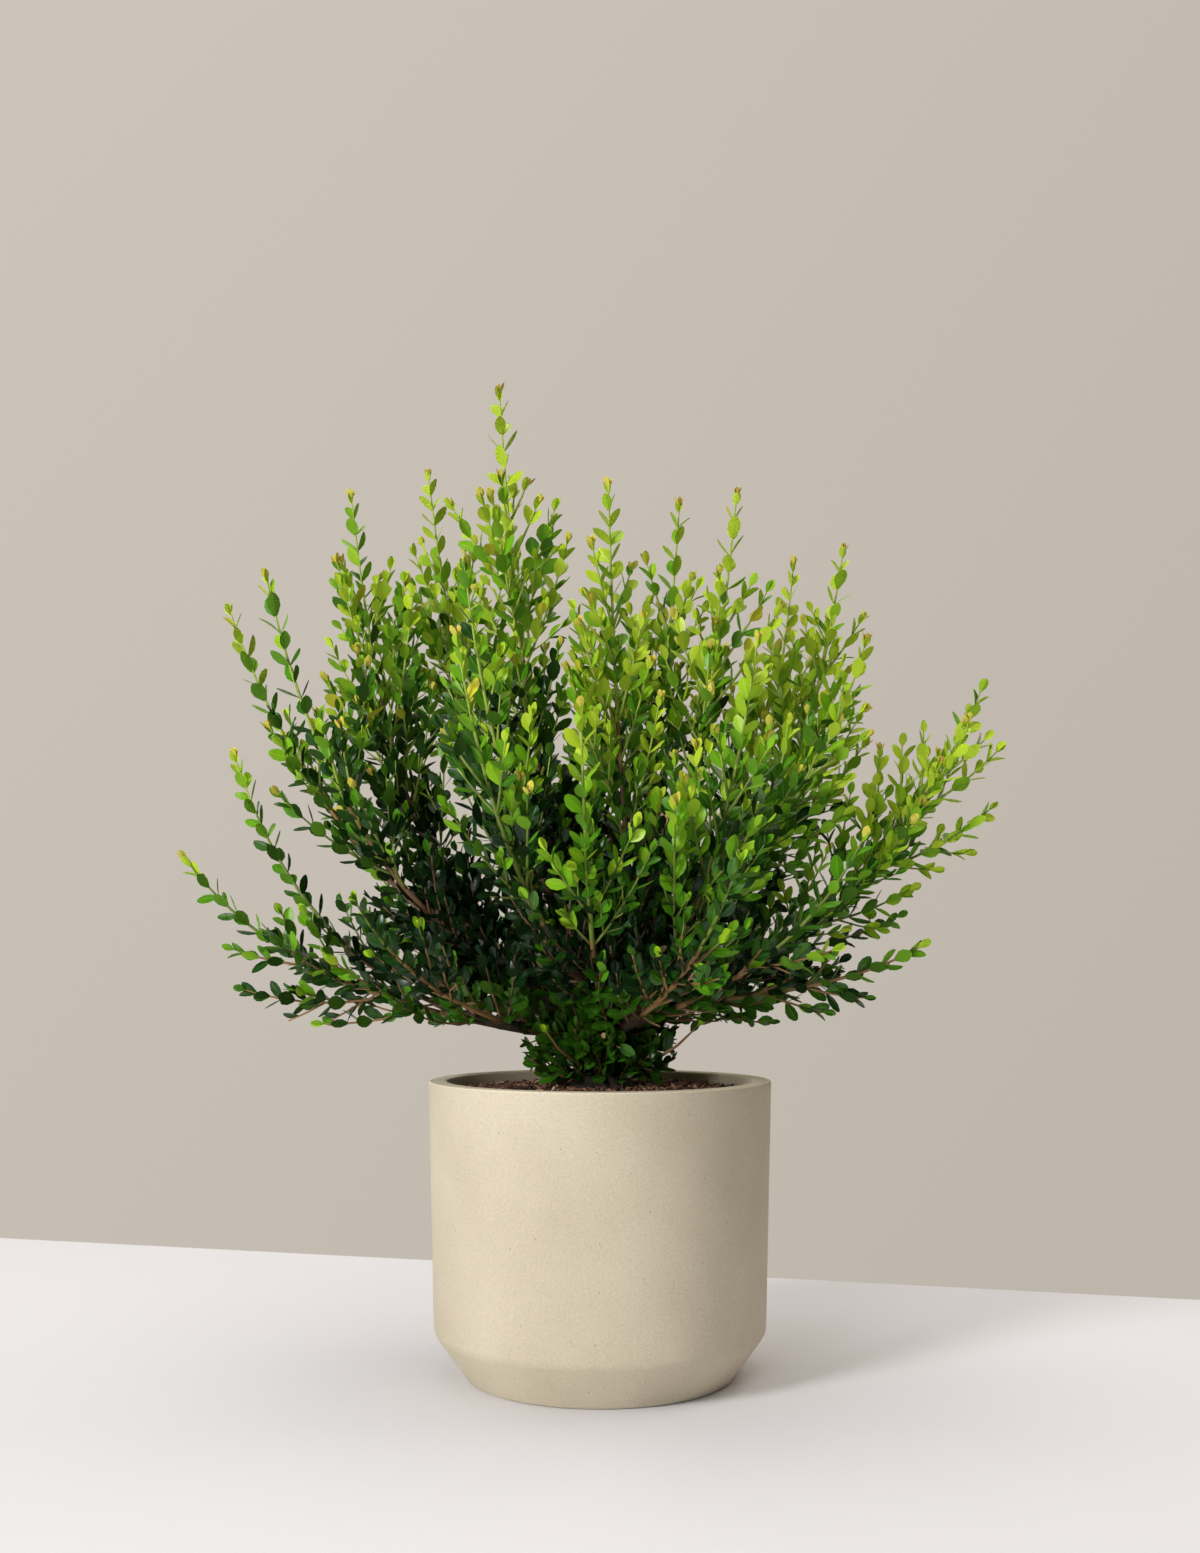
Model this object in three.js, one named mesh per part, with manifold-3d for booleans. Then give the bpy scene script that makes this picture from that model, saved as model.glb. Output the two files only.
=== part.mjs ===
// A young boxwood shrub in a straight-sided stoneware planter.
// Millimetres, +Z up. The origin is the centre of the planter's flat underside, -Y is the shrub's front.
// A short trunk forks into boughs. Each bough ends where its mass of foliage begins, and each mass is
// one stem that carries side shoots and opposite pairs of leaves.
import * as THREE from "three";
import { ConvexGeometry } from "three/addons/geometries/ConvexGeometry.js";
import { mergeVertices } from "three/addons/utils/BufferGeometryUtils.js";
import Module from "manifold-3d";

const wasm = await Module();
wasm.setup();

// Driving dimensions
const GAP = 0.3; // clearance between two pieces that touch
const POT = {
  height: 215,
  rimRadius: 130,
  shoulderRadius: 123.7, // where the side meets the chamfer
  footRadius: 99,
  chamferHeight: 33,
  wall: 14,
  floor: 16,
  sides: 44,
};
const ROUND = { foot: 2.5, shoulder: 7, rim: 1.8 }; // how far each rounding starts before its corner
const SOIL = { edge: 206, top: 210, flatRadius: 30, sides: 32, rings: 4 };
const LUMP = { height: 1.1, wave: 52, fineHeight: 0.6, fineWave: 23 };
const TRUNK = {
  height: 60,
  radius: 17,
  topRadius: 11,
  flare: 8,
  flareFade: 9, // mm up in which the flare drops to a third
  leanX: 3,
  leanY: -2,
  sides: 12,
  steps: 7,
};
const FLUTES = { root: 0.45, shaft: 0.05 }; // depth of the five flutes of the flare and of the shaft's three

// A limb is one curve from the trunk or its parent limb out and up to the tip of its shoot.
const LIMB = { out: 0.71, up: 0.27 }; // share of reach and of height at the curve's bend
const BOUGH = {
  trunkShare: 0.3, // share of a limb from the trunk that is bare bough
  forkShare: 0.17, // the same for a limb that forks from another
  trunkRadius: 5.6,
  forkRadius: 3.7,
  endRadius: 2.7,
  sides: 5,
  steps: 3,
};

// name, parent, where it starts (mm up the trunk, or share along the parent),
// azimuth in degrees (0 is right, 270 is front), reach and height above the soil of its tip in mm,
// and LIMB.up again for one that sags or stands up more than the others
const LIMBS = [
  ["low_left", "trunk", 38, 184, 312, 166, 0.1],
  ["left_wand", "low_left", 0.22, 169, 303, 256, 0.16],
  ["front_left_low", "low_left", 0.16, 226, 232, 130],
  ["left_tall", "trunk", 47, 177, 296, 370],
  ["left_spray", "left_tall", 0.22, 196, 258, 374],
  ["upper_left", "left_tall", 0.16, 162, 220, 478, 0.18],
  ["top_wand", "trunk", 54, 167, 84, 550],
  ["back_left_tall", "top_wand", 0.18, 138, 205, 520],
  ["inner_left", "top_wand", 0.14, 220, 130, 380],
  ["front_mid", "trunk", 46, 266, 184, 256],
  ["front_left_mid", "front_mid", 0.17, 238, 184, 308],
  ["front_right_low", "trunk", 36, 292, 232, 152],
  ["front_right_mid", "front_right_low", 0.17, 306, 184, 308],
  ["lower_right", "front_right_low", 0.22, 325, 222, 176],
  ["far_right", "trunk", 42, 359, 298, 304, 0.2],
  ["low_right", "far_right", 0.16, 349, 240, 104],
  ["right_centre", "trunk", 50, 353, 108, 452],
  ["centre", "right_centre", 0.14, 282, 32, 456],
  ["right_mid", "right_centre", 0.18, 346, 206, 330],
  ["back_right_low", "trunk", 34, 42, 272, 190],
  ["right_wand", "back_right_low", 0.16, 16, 210, 428],
  ["back_right_tall", "back_right_low", 0.22, 38, 216, 436],
  ["back_mid", "trunk", 46, 92, 196, 370],
  ["centre_right", "back_mid", 0.16, 45, 94, 470],
  ["back_low", "trunk", 39, 104, 262, 176],
  ["back_left_low", "back_low", 0.2, 142, 268, 200],
  ["base_left", "trunk", 12, 236, 66, 40],
  ["base_right", "trunk", 9, 330, 78, 42],
  ["heart_left", "trunk", 50, 198, 58, 178],
  ["heart_front", "trunk", 46, 286, 62, 148],
  ["heart_right", "trunk", 53, 20, 56, 196],
];
// These are leafy from the trunk on, with no bough.
const SHORT_LIMBS = ["base_left", "base_right", "heart_left", "heart_front", "heart_right"];

// The rule that every mass of foliage grows by
const GROWTH = {
  internode: 15, // from one pair of leaves to the next
  leafEvery: 3, // these solids carry a pair at every third node, counted from the tip
  shortLeafEvery: 2, // and at every second on the short limbs
  shootEvery: 6, // and one side shoot at every sixth
  sideShare: 0.5, // a side shoot's length over what is left of its stem
  leastOfSide: 0.75, // the shortest and
  mostOfSide: 1.25, // the longest that chance makes it
  longestShoot: 100,
  shortestShoot: 32,
  shootAngle: 32,
  angleSpread: 12,
  turnSpread: 20,
  lift: 0.075, // how much a side shoot turns up at each node
  sway: 0.05,
};
const TWIG = {
  stemRadius: 2.6,
  shootRadius: 1.5,
  tipRadius: 1.3,
  sides: 3,
  nodesPerStep: 4,
  tolerance: 0.02, // faces closer to flat than this are joined
};
const SEED = { limb: 1009, node: 31, side: 7, first: 5 }; // what each adds to a side shoot's seed
const LEAF = {
  length: 46,
  width: 31,
  dome: 2.2,
  sink: 0.4, // how far its root passes the twig's axis
  below: 2.5, // how far below its node it stands
  stagger: 1.6, // and how much further the second one of a pair
  angle: 46,
  tipAngle: 26,
  rootVolume: 1.1, // mm3 that may lie inside its mass
};
// A leaf's outline is wide past its middle and blunt at its tip.
// Rows are [share of length, share of half width, rise in mm].
const LEAF_OUTLINE = [
  [0, 0, 0.5],
  [0.52, 1, 0],
  [0.96, 0.42, 0.5],
  [0.96, -0.42, 0.5],
  [0.52, -1, 0],
];
const LEAF_CREST = 0.5; // where along the leaf its domed face is highest
const LEAF_SCALES = [0.55, 0.72, 0.88]; // of a twig's pairs from its tip back, then 1
const SHORT_LIMB_SCALE = 0.6; // most for the leaves of the short limbs, which stand close
const CLEAR = { leaf: 2.2, twig: 3.6, limb: 1.2, soil: 4, rim: 4 };
const NECK = { radius: 62, height: 34 }; // beyond this radius the crown stays this far above the soil
const PATH_STEPS = 8; // straight steps that stand for a limb where distances are measured

const MATERIALS = {
  pot: new THREE.MeshStandardMaterial({ color: 0xd6caae, roughness: 0.85, metalness: 0 }),
  soil: new THREE.MeshStandardMaterial({ color: 0x3b2619, roughness: 1, metalness: 0 }),
  bark: new THREE.MeshStandardMaterial({ color: 0x8a6a45, roughness: 0.9, metalness: 0 }),
  foliage: new THREE.MeshStandardMaterial({ color: 0x5c8a25, roughness: 0.45, metalness: 0 }),
};

// Solids

function solidOf(geometry) {
  geometry.deleteAttribute("normal");
  geometry.deleteAttribute("uv");
  const merged = mergeVertices(geometry, 1e-4);
  return new wasm.Manifold(
    new wasm.Mesh({
      numProp: 3,
      vertProperties: merged.attributes.position.array,
      triVerts: new Uint32Array(merged.index.array),
    }),
  );
}

// The largest body of a solid: a cut can leave a loose scrap beside it.
function largestBody(solid) {
  return solid.decompose().reduce((a, b) => (b.volume() > a.volume() ? b : a));
}

function meshOf(solid, name, material) {
  const { vertProperties, triVerts } = solid.getMesh();
  const geometry = new THREE.BufferGeometry();
  geometry.setAttribute("position", new THREE.BufferAttribute(vertProperties, 3));
  geometry.setIndex(new THREE.BufferAttribute(triVerts, 1));
  geometry.computeVertexNormals();
  const mesh = new THREE.Mesh(geometry, material);
  mesh.name = name;
  return mesh;
}

// A profile of [radius, height] points turned about the Z axis
function turned(points, sides) {
  return new THREE.LatheGeometry(points, sides).rotateX(Math.PI / 2);
}

// Planter and soil

// A path along the corner points, each rounded from the given distance before it
function roundedPath(corners) {
  const path = new THREE.Path();
  corners.forEach(([x, y, round = 0], i) => {
    const corner = new THREE.Vector2(x, y);
    if (!round) {
      if (i === 0) path.moveTo(x, y);
      else path.lineTo(x, y);
      return;
    }
    const towards = (other) =>
      corner.clone().add(new THREE.Vector2(...other.slice(0, 2)).sub(corner).setLength(round));
    const before = towards(corners[i - 1]);
    const after = towards(corners[i + 1]);
    path.lineTo(before.x, before.y);
    path.quadraticCurveTo(x, y, after.x, after.y);
  });
  return path.getPoints(2);
}

function potSolid() {
  const { height, rimRadius, shoulderRadius, footRadius, chamferHeight, wall, floor, sides } = POT;
  return solidOf(
    turned(
      roundedPath([
        [0, 0],
        [footRadius, 0, ROUND.foot],
        [shoulderRadius, chamferHeight, ROUND.shoulder],
        [rimRadius, height, ROUND.rim],
        [rimRadius - wall, height, ROUND.rim],
        [shoulderRadius - wall, chamferHeight + wall / 2],
        [footRadius - wall, floor],
        [0, floor],
      ]),
      sides,
    ),
  );
}

// Height of the soil's loose surface above its smooth mound
function lump(x, y) {
  const turn = (distance, wave) => (2 * Math.PI * distance) / wave;
  const coarse = Math.sin(turn(x, LUMP.wave) + 1) * Math.sin(turn(y, LUMP.wave));
  const fine = Math.sin(turn(x, LUMP.fineWave)) * Math.cos(turn(y, LUMP.fineWave) + 2);
  return LUMP.height * coarse + LUMP.fineHeight * fine;
}

function soilSolid() {
  const { height, rimRadius, shoulderRadius, footRadius, chamferHeight, wall, floor } = POT;
  const innerAt = (z) => {
    const low = chamferHeight + wall / 2;
    return shoulderRadius - wall + ((rimRadius - shoulderRadius) * (z - low)) / (height - low) - GAP;
  };
  const edgeRadius = innerAt(SOIL.edge);
  const mound = [];
  for (let i = 0; i <= SOIL.rings; i++) {
    const share = i / SOIL.rings;
    const radius = edgeRadius + (SOIL.flatRadius - edgeRadius) * share;
    const rise = (SOIL.top - SOIL.edge) * Math.sin((share * Math.PI) / 2);
    mound.push(new THREE.Vector2(radius, SOIL.edge + rise));
  }
  const geometry = turned(
    [
      new THREE.Vector2(0, floor + GAP),
      new THREE.Vector2(footRadius - wall - GAP, floor + GAP),
      new THREE.Vector2(shoulderRadius - wall - GAP, chamferHeight + wall / 2),
      ...mound,
      new THREE.Vector2(0, SOIL.top),
    ],
    SOIL.sides,
  );
  const at = geometry.attributes.position;
  for (let i = 0; i < at.count; i++) {
    const [x, y, z] = [at.getX(i), at.getY(i), at.getZ(i)];
    const radius = Math.hypot(x, y);
    const loose = z > SOIL.edge - 1 && radius > SOIL.flatRadius + 1 && radius < edgeRadius - 1;
    if (loose) at.setZ(i, z + lump(x, y));
  }
  return solidOf(geometry);
}

// Trunk, boughs and stems

const trunkFoot = new THREE.Vector3(0, 0, SOIL.top + GAP);
const trunkTop = new THREE.Vector3(TRUNK.leanX, TRUNK.leanY, SOIL.top + GAP + TRUNK.height);

function trunkPoint(height) {
  return trunkFoot.clone().lerp(trunkTop, height / TRUNK.height);
}

// The trunk is fluted by its root flare, and grown by a margin when it cuts what meets it.
function trunkSolid(margin = 0) {
  const geometry = new THREE.CylinderGeometry(1, 1, 1, TRUNK.sides, TRUNK.steps).rotateX(Math.PI / 2);
  const at = geometry.attributes.position;
  for (let i = 0; i < at.count; i++) {
    const share = at.getZ(i) + 0.5;
    const height = share * TRUNK.height;
    const angle = Math.atan2(at.getY(i), at.getX(i));
    const onAxis = Math.hypot(at.getX(i), at.getY(i)) < 0.5;
    const flare = TRUNK.flare * Math.exp(-height / TRUNK.flareFade) * (1 + FLUTES.root * Math.sin(5 * angle));
    const shaft = THREE.MathUtils.lerp(TRUNK.radius, TRUNK.topRadius, share);
    const radius = onAxis ? 0 : shaft * (1 + FLUTES.shaft * Math.sin(3 * angle + 1)) + flare + margin;
    const centre = trunkPoint(height);
    const past = share < 0.01 ? -margin : share > 0.99 ? margin : 0;
    at.setXYZ(i, centre.x + radius * Math.cos(angle), centre.y + radius * Math.sin(angle), centre.z + past);
  }
  return solidOf(geometry);
}

// A unit vector square to along, as near to across as that allows
function squareTo(along, across) {
  return across.clone().addScaledVector(along, -across.dot(along) / along.lengthSq()).normalize();
}

// A tube of tapering radius along a list of points, with its section turned towards across
function taperedTube(points, across, startRadius, endRadius, sides) {
  const steps = points.length - 1;
  const geometry = new THREE.CylinderGeometry(1, 1, 1, sides, steps);
  const at = geometry.attributes.position;
  for (let i = 0; i < at.count; i++) {
    const step = Math.round((0.5 - at.getY(i)) * steps);
    const radius = THREE.MathUtils.lerp(startRadius, endRadius, step / steps);
    const along = points[Math.min(step + 1, steps)].clone().sub(points[Math.max(step - 1, 0)]).normalize();
    const side = squareTo(along, across);
    const other = new THREE.Vector3().crossVectors(along, side);
    const place = points[step]
      .clone()
      .addScaledVector(side, at.getX(i) * radius)
      .addScaledVector(other, at.getZ(i) * radius);
    at.setXYZ(i, place.x, place.y, place.z);
  }
  return solidOf(geometry);
}

// A point at the given azimuth, distance from the trunk's axis and height above the soil
function around(azimuth, reach, height) {
  const angle = THREE.MathUtils.degToRad(azimuth);
  return new THREE.Vector3(reach * Math.cos(angle), reach * Math.sin(angle), SOIL.top + height);
}

function limbCurve(start, tip, up = LIMB.up) {
  const bend = start.clone().lerp(tip, LIMB.out);
  bend.z = THREE.MathUtils.lerp(start.z, tip.z, up);
  return new THREE.QuadraticBezierCurve3(start, bend, tip);
}

const limbs = new Map();
LIMBS.forEach(([name, parentName, from, azimuth, reach, height, up], index) => {
  const parent = limbs.get(parentName);
  const start = parent ? parent.curve.getPointAt(from) : trunkPoint(from);
  const curve = limbCurve(start, around(azimuth, reach, height), up);
  const short = SHORT_LIMBS.includes(name);
  const boughShare = short ? 0 : parent ? BOUGH.forkShare : BOUGH.trunkShare;
  const boughRadius = parent ? BOUGH.forkRadius : BOUGH.trunkRadius;
  const level = new THREE.Vector3(0, 0, 1).cross(curve.v2.clone().sub(start)).normalize();
  const leafEvery = short ? GROWTH.shortLeafEvery : GROWTH.leafEvery;
  const length = curve.getLength();
  limbs.set(name, { name, index, parent, curve, level, length, boughShare, boughRadius, leafEvery });
});
const allLimbs = [...limbs.values()];
const boughLimbs = allLimbs.filter((limb) => limb.boughShare > 0);

function pointsAlong(curve, from, to, steps) {
  const shares = Array.from({ length: steps + 1 }, (_, i) => THREE.MathUtils.lerp(from, to, i / steps));
  return shares.map((share) => curve.getPointAt(share));
}

function boughTube(limb, margin = 0) {
  const points = pointsAlong(limb.curve, 0, limb.boughShare, BOUGH.steps);
  return taperedTube(points, limb.level, limb.boughRadius + margin, BOUGH.endRadius + margin, BOUGH.sides);
}

// A bough is cut clear of the trunk, of the bough that it forks from and of those that rise beside it.
function boughSolid(limb) {
  const tube = boughTube(limb);
  const earlier = boughLimbs.filter((other) => other.index < limb.index);
  const hosts = [trunkSolid(GAP), ...earlier.map((other) => boughTube(other, GAP))];
  const touching = hosts.filter((host) => host.intersect(tube).volume() > 0);
  return largestBody(touching.reduce((rest, host) => rest.subtract(host), tube));
}

// The trunk and all boughs, grown by the gap that foliage keeps from them
const framework = boughLimbs.reduce((whole, limb) => whole.add(boughTube(limb, GAP)), trunkSolid(GAP));

// Random numbers from 0 to 1 that are the same in every run
function seeded(seed) {
  let state = seed >>> 0;
  const next = () => {
    state = (Math.imul(state, 1664525) + 1013904223) >>> 0;
    return state / 4294967296;
  };
  for (let i = 0; i < 4; i++) next();
  return next;
}

// Space

function distanceToSegment(point, a, b) {
  return new THREE.Line3(a, b).closestPointToPoint(point, true, new THREE.Vector3()).distanceTo(point);
}

function distanceToPath(point, path) {
  const distances = path.slice(1).map((end, i) => distanceToSegment(point, path[i], end));
  return Math.min(...distances);
}

for (const limb of allLimbs) {
  limb.stemStart = limb.boughShare + (limb.boughShare > 0 ? GAP / limb.length : 0);
  limb.stemPath = pointsAlong(limb.curve, limb.stemStart, 1, PATH_STEPS);
  limb.boughPath = limb.boughShare > 0 ? pointsAlong(limb.curve, 0, limb.boughShare, PATH_STEPS) : [];
}

// A mass keeps to the points nearer to its own stem than to any other, and off the limbs and planter.
function inSpace(limb, point, margin) {
  const fromAxis = Math.hypot(point.x, point.y);
  if (point.z < SOIL.top + CLEAR.soil) return false;
  if (fromAxis > NECK.radius && point.z < SOIL.top + NECK.height) return false;
  const overWall = fromAxis > POT.rimRadius - POT.wall - CLEAR.rim && fromAxis < POT.rimRadius + CLEAR.rim;
  if (overWall && point.z < POT.height + CLEAR.rim) return false;
  const clearOfTrunk = TRUNK.radius + TRUNK.flare + CLEAR.limb;
  if (fromAxis < clearOfTrunk && point.z < trunkTop.z + CLEAR.limb) return false;
  const own = distanceToPath(point, limb.stemPath) + margin;
  return allLimbs.every((other) => {
    const clearOfBough = BOUGH.trunkRadius + CLEAR.limb;
    if (other.boughPath.length && distanceToPath(point, other.boughPath) < clearOfBough) return false;
    return other === limb || distanceToPath(point, other.stemPath) > own;
  });
}

// Growth

const radians = THREE.MathUtils.degToRad;

// The direction at an angle from a node's twig, on the side given by a turn about it
function leaning(node, turn, angle) {
  const side = node.across.clone().applyAxisAngle(node.along, radians(turn));
  return node.along
    .clone()
    .multiplyScalar(Math.cos(radians(angle)))
    .addScaledVector(side, Math.sin(radians(angle)));
}

// The nodes of a limb's stem, an internode apart and ending at its tip
function stemNodes(limb) {
  const count = Math.floor((limb.length * (1 - limb.stemStart)) / GROWTH.internode);
  return Array.from({ length: count }, (_, i) => {
    const left = (count - 1 - i) * GROWTH.internode;
    const share = 1 - left / limb.length;
    const along = limb.curve.getTangentAt(share);
    return { at: limb.curve.getPointAt(share), along, across: squareTo(along, limb.level), left };
  });
}

// The nodes of a side shoot, which leaves its stem at an angle and turns up as it grows
function shootNodes(limb, node, turn, length, random) {
  let along = leaning(node, turn, GROWTH.shootAngle + GROWTH.angleSpread * (random() - 0.5));
  let across = squareTo(along, new THREE.Vector3().crossVectors(node.along, along));
  let at = node.at;
  const nodes = [{ at, along, across }];
  const count = Math.floor(length / GROWTH.internode);
  for (let i = 0; i < count; i++) {
    along = along
      .clone()
      .addScaledVector(across, GROWTH.sway * (random() - 0.5))
      .add(new THREE.Vector3(0, 0, GROWTH.lift))
      .normalize();
    across = squareTo(along, across);
    at = at.clone().addScaledVector(along, GROWTH.internode);
    if (!inSpace(limb, at, CLEAR.twig)) break;
    nodes.push({ at, along, across });
  }
  return nodes;
}

// The side shoot that a stem may carry in the axil at a node, on one of its two sides
function sideShoot(limb, node, index, side) {
  const random = seeded(limb.index * SEED.limb + index * SEED.node + side * SEED.side + SEED.first);
  const usual = Math.min(GROWTH.longestShoot, GROWTH.sideShare * node.left);
  const wanted = usual * THREE.MathUtils.lerp(GROWTH.leastOfSide, GROWTH.mostOfSide, random());
  if (wanted < GROWTH.shortestShoot) return [];
  const turn = pairTurn(index) + side * 180 + GROWTH.turnSpread * (random() - 0.5);
  return shootNodes(limb, node, turn, wanted, random);
}

// Pairs turn a quarter from each node to the next.
function pairTurn(index) {
  return index * 90;
}

// A blade of eight faces, domed above and slightly keeled below, with its root sunk past the twig's axis
function leafGeometry(node, turn, angle, scale) {
  const along = leaning(node, turn, angle);
  const across = new THREE.Vector3().crossVectors(along, node.along).normalize();
  const face = new THREE.Vector3().crossVectors(across, along);
  const at = (share, side, rise) =>
    node.at
      .clone()
      .addScaledVector(along, LEAF.length * scale * share - LEAF.sink)
      .addScaledVector(across, (LEAF.width * scale * side) / 2)
      .addScaledVector(face, rise);
  const outline = LEAF_OUTLINE.map((row) => at(...row));
  const crest = at(LEAF_CREST, 0, LEAF.dome);
  const quarters = [at(0.25, 0, 0), at(0.75, 0, 0)];
  const tests = [...outline.slice(1), crest, ...quarters];
  return { geometry: new ConvexGeometry([...outline, crest]), tests };
}

// The leaves at one node of a twig, on the sides that are free. The pair at the tip closes over the bud.
function leavesAt(limb, node, fromTip, turn, sides) {
  const solids = [];
  for (const side of sides) {
    const below = LEAF.below + side * LEAF.stagger;
    const seat = { ...node, at: node.at.clone().addScaledVector(node.along, -below) };
    const angle = fromTip === 0 ? LEAF.tipAngle : LEAF.angle;
    const most = limb.boughShare > 0 ? 1 : SHORT_LIMB_SCALE;
    const scale = Math.min(LEAF_SCALES[fromTip / limb.leafEvery] ?? 1, most);
    const { geometry, tests } = leafGeometry(seat, turn + side * 180, angle, scale);
    if (tests.every((point) => inSpace(limb, point, CLEAR.leaf))) solids.push(solidOf(geometry));
  }
  return solids;
}

function shootTwig(nodes) {
  const path = [nodes[0], nodes[Math.round((nodes.length - 1) / 2)], nodes[nodes.length - 1]];
  const points = path.map((node) => node.at);
  return taperedTube(points, nodes[0].across, TWIG.shootRadius, TWIG.tipRadius, TWIG.sides);
}

function stemTwig(limb, count) {
  const points = pointsAlong(limb.curve, limb.stemStart, 1, Math.ceil(count / TWIG.nodesPerStep));
  const stem = taperedTube(points, limb.level, TWIG.stemRadius, TWIG.tipRadius, TWIG.sides);
  return limb.boughShare > 0 ? stem : largestBody(stem.subtract(framework));
}

// One mass of foliage: its stem, side shoots and leaves fused into one body
function massSolid(limb) {
  const nodes = stemNodes(limb);
  const twigs = [stemTwig(limb, nodes.length)];
  const leaves = [];
  nodes.forEach((node, i) => {
    const fromTip = nodes.length - 1 - i;
    const free = new Set([0, 1]);
    if (fromTip % GROWTH.shootEvery === GROWTH.shootEvery - 1) {
      const side = Math.floor(fromTip / GROWTH.shootEvery / 2) % 2;
      const shoot = sideShoot(limb, node, i, side);
      if (shoot.length > 2) {
        twigs.push(shootTwig(shoot));
        for (let back = 0; back < shoot.length - 1; back += limb.leafEvery) {
          const k = shoot.length - 1 - back;
          leaves.push(...leavesAt(limb, shoot[k], back, pairTurn(k), [0, 1]));
        }
        free.delete(side);
      }
    }
    const leafy = i > 0 && fromTip % limb.leafEvery === 0;
    if (leafy) leaves.push(...leavesAt(limb, node, fromTip, pairTurn(i), free));
  });
  const wood = twigs.reduce(withTwig).simplify(TWIG.tolerance);
  return largestBody(leaves.reduce(withLeaf, wood));
}

// A twig or leaf that would touch the framework is skipped, and so is a leaf that would cut another one.
function withTwig(whole, twig) {
  return framework.intersect(twig).volume() > 0 ? whole : whole.add(twig);
}

function withLeaf(whole, leaf) {
  return whole.intersect(leaf).volume() > LEAF.rootVolume ? whole : withTwig(whole, leaf);
}

// The whole plant

const group = new THREE.Group();
group.add(meshOf(potSolid(), "pot", MATERIALS.pot));
group.add(meshOf(soilSolid(), "soil", MATERIALS.soil));
group.add(meshOf(trunkSolid(), "trunk", MATERIALS.bark));
for (const limb of boughLimbs) group.add(meshOf(boughSolid(limb), `bough_${limb.name}`, MATERIALS.bark));
for (const limb of allLimbs) group.add(meshOf(massSolid(limb), `foliage_${limb.name}`, MATERIALS.foliage));

export default group;
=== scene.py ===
"""A young boxwood shrub in a straight-sided stoneware planter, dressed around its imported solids.

Growth is worked out in millimetres, by the rule that the solids grow by, and carried on to finer shoots
and to leaves of life size. Meshes are made in metres. The shrub's front looks along -Y.
"""

from math import ceil, cos, exp, hypot, pi, radians, sin, sqrt

import bpy
import numpy as np
from mathutils import Euler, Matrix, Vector, noise


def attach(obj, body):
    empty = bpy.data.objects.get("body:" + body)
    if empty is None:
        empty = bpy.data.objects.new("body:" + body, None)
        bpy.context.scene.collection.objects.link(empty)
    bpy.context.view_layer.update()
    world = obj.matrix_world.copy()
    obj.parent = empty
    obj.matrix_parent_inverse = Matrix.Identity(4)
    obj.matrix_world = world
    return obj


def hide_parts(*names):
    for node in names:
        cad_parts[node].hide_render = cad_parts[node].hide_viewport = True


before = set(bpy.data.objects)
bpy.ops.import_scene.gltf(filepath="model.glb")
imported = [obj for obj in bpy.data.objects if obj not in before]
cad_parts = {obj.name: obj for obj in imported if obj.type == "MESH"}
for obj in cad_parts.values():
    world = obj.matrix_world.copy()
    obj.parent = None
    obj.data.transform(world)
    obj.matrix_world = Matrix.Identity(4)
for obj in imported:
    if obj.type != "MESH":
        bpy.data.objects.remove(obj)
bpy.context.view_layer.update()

MM = 0.001

# Driving sizes of the planter and its soil, in millimetres
POT_HEIGHT = 215
RIM_RADIUS = 129.9
SHOULDER_RADIUS = 123.6  # where the side meets the chamfer
FOOT_RADIUS = 99
CHAMFER_HEIGHT = 33
POT_WALL = 14
POT_FLOOR = 16
POT_SIDES = 160
SOIL_EDGE = 206  # height of the soil at the wall and
SOIL_TOP = 210  # round the trunk
SOIL_FLAT_RADIUS = 30
CORNER_POINTS = 7  # on each rounded corner of the planter's wall
LONGEST_STEP = 12  # between two points along the wall
RIM_BAND = 0.9  # depth of the rim's top band, painted paler as painted light
INSIDE_PAINTED_LIGHT = 1.4  # painted light: how much paler the rim's top and the inside are than the outer side, where the crown shades them

# The trunk stands on the soil and leans a little.
TRUNK_FOOT = np.array([0, 0, 210.3])
TRUNK_TOP = np.array([3, -2, 270.3])
TRUNK_HEIGHT = 60
TRUNK_RADIUS = 17
TRUNK_TOP_RADIUS = 11
TRUNK_NECK_RADIUS = 11.6  # where the trunk rounds off
TRUNK_END_RADIUS = 8.5
TRUNK_ROUNDING = 6
TRUNK_RINGS, TRUNK_SIDES, BOUGH_SIDES = 31, 48, 14
ROOT_FLARE = 8
FLARE_FADE = 9
ROOT_COUNT, ROOT_DEPTH = 5, 0.45

# A limb is one curve from the trunk or its parent limb out and up to the tip of its shoot.
BEND_OUT = 0.71
BEND_UP = 0.27
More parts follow.
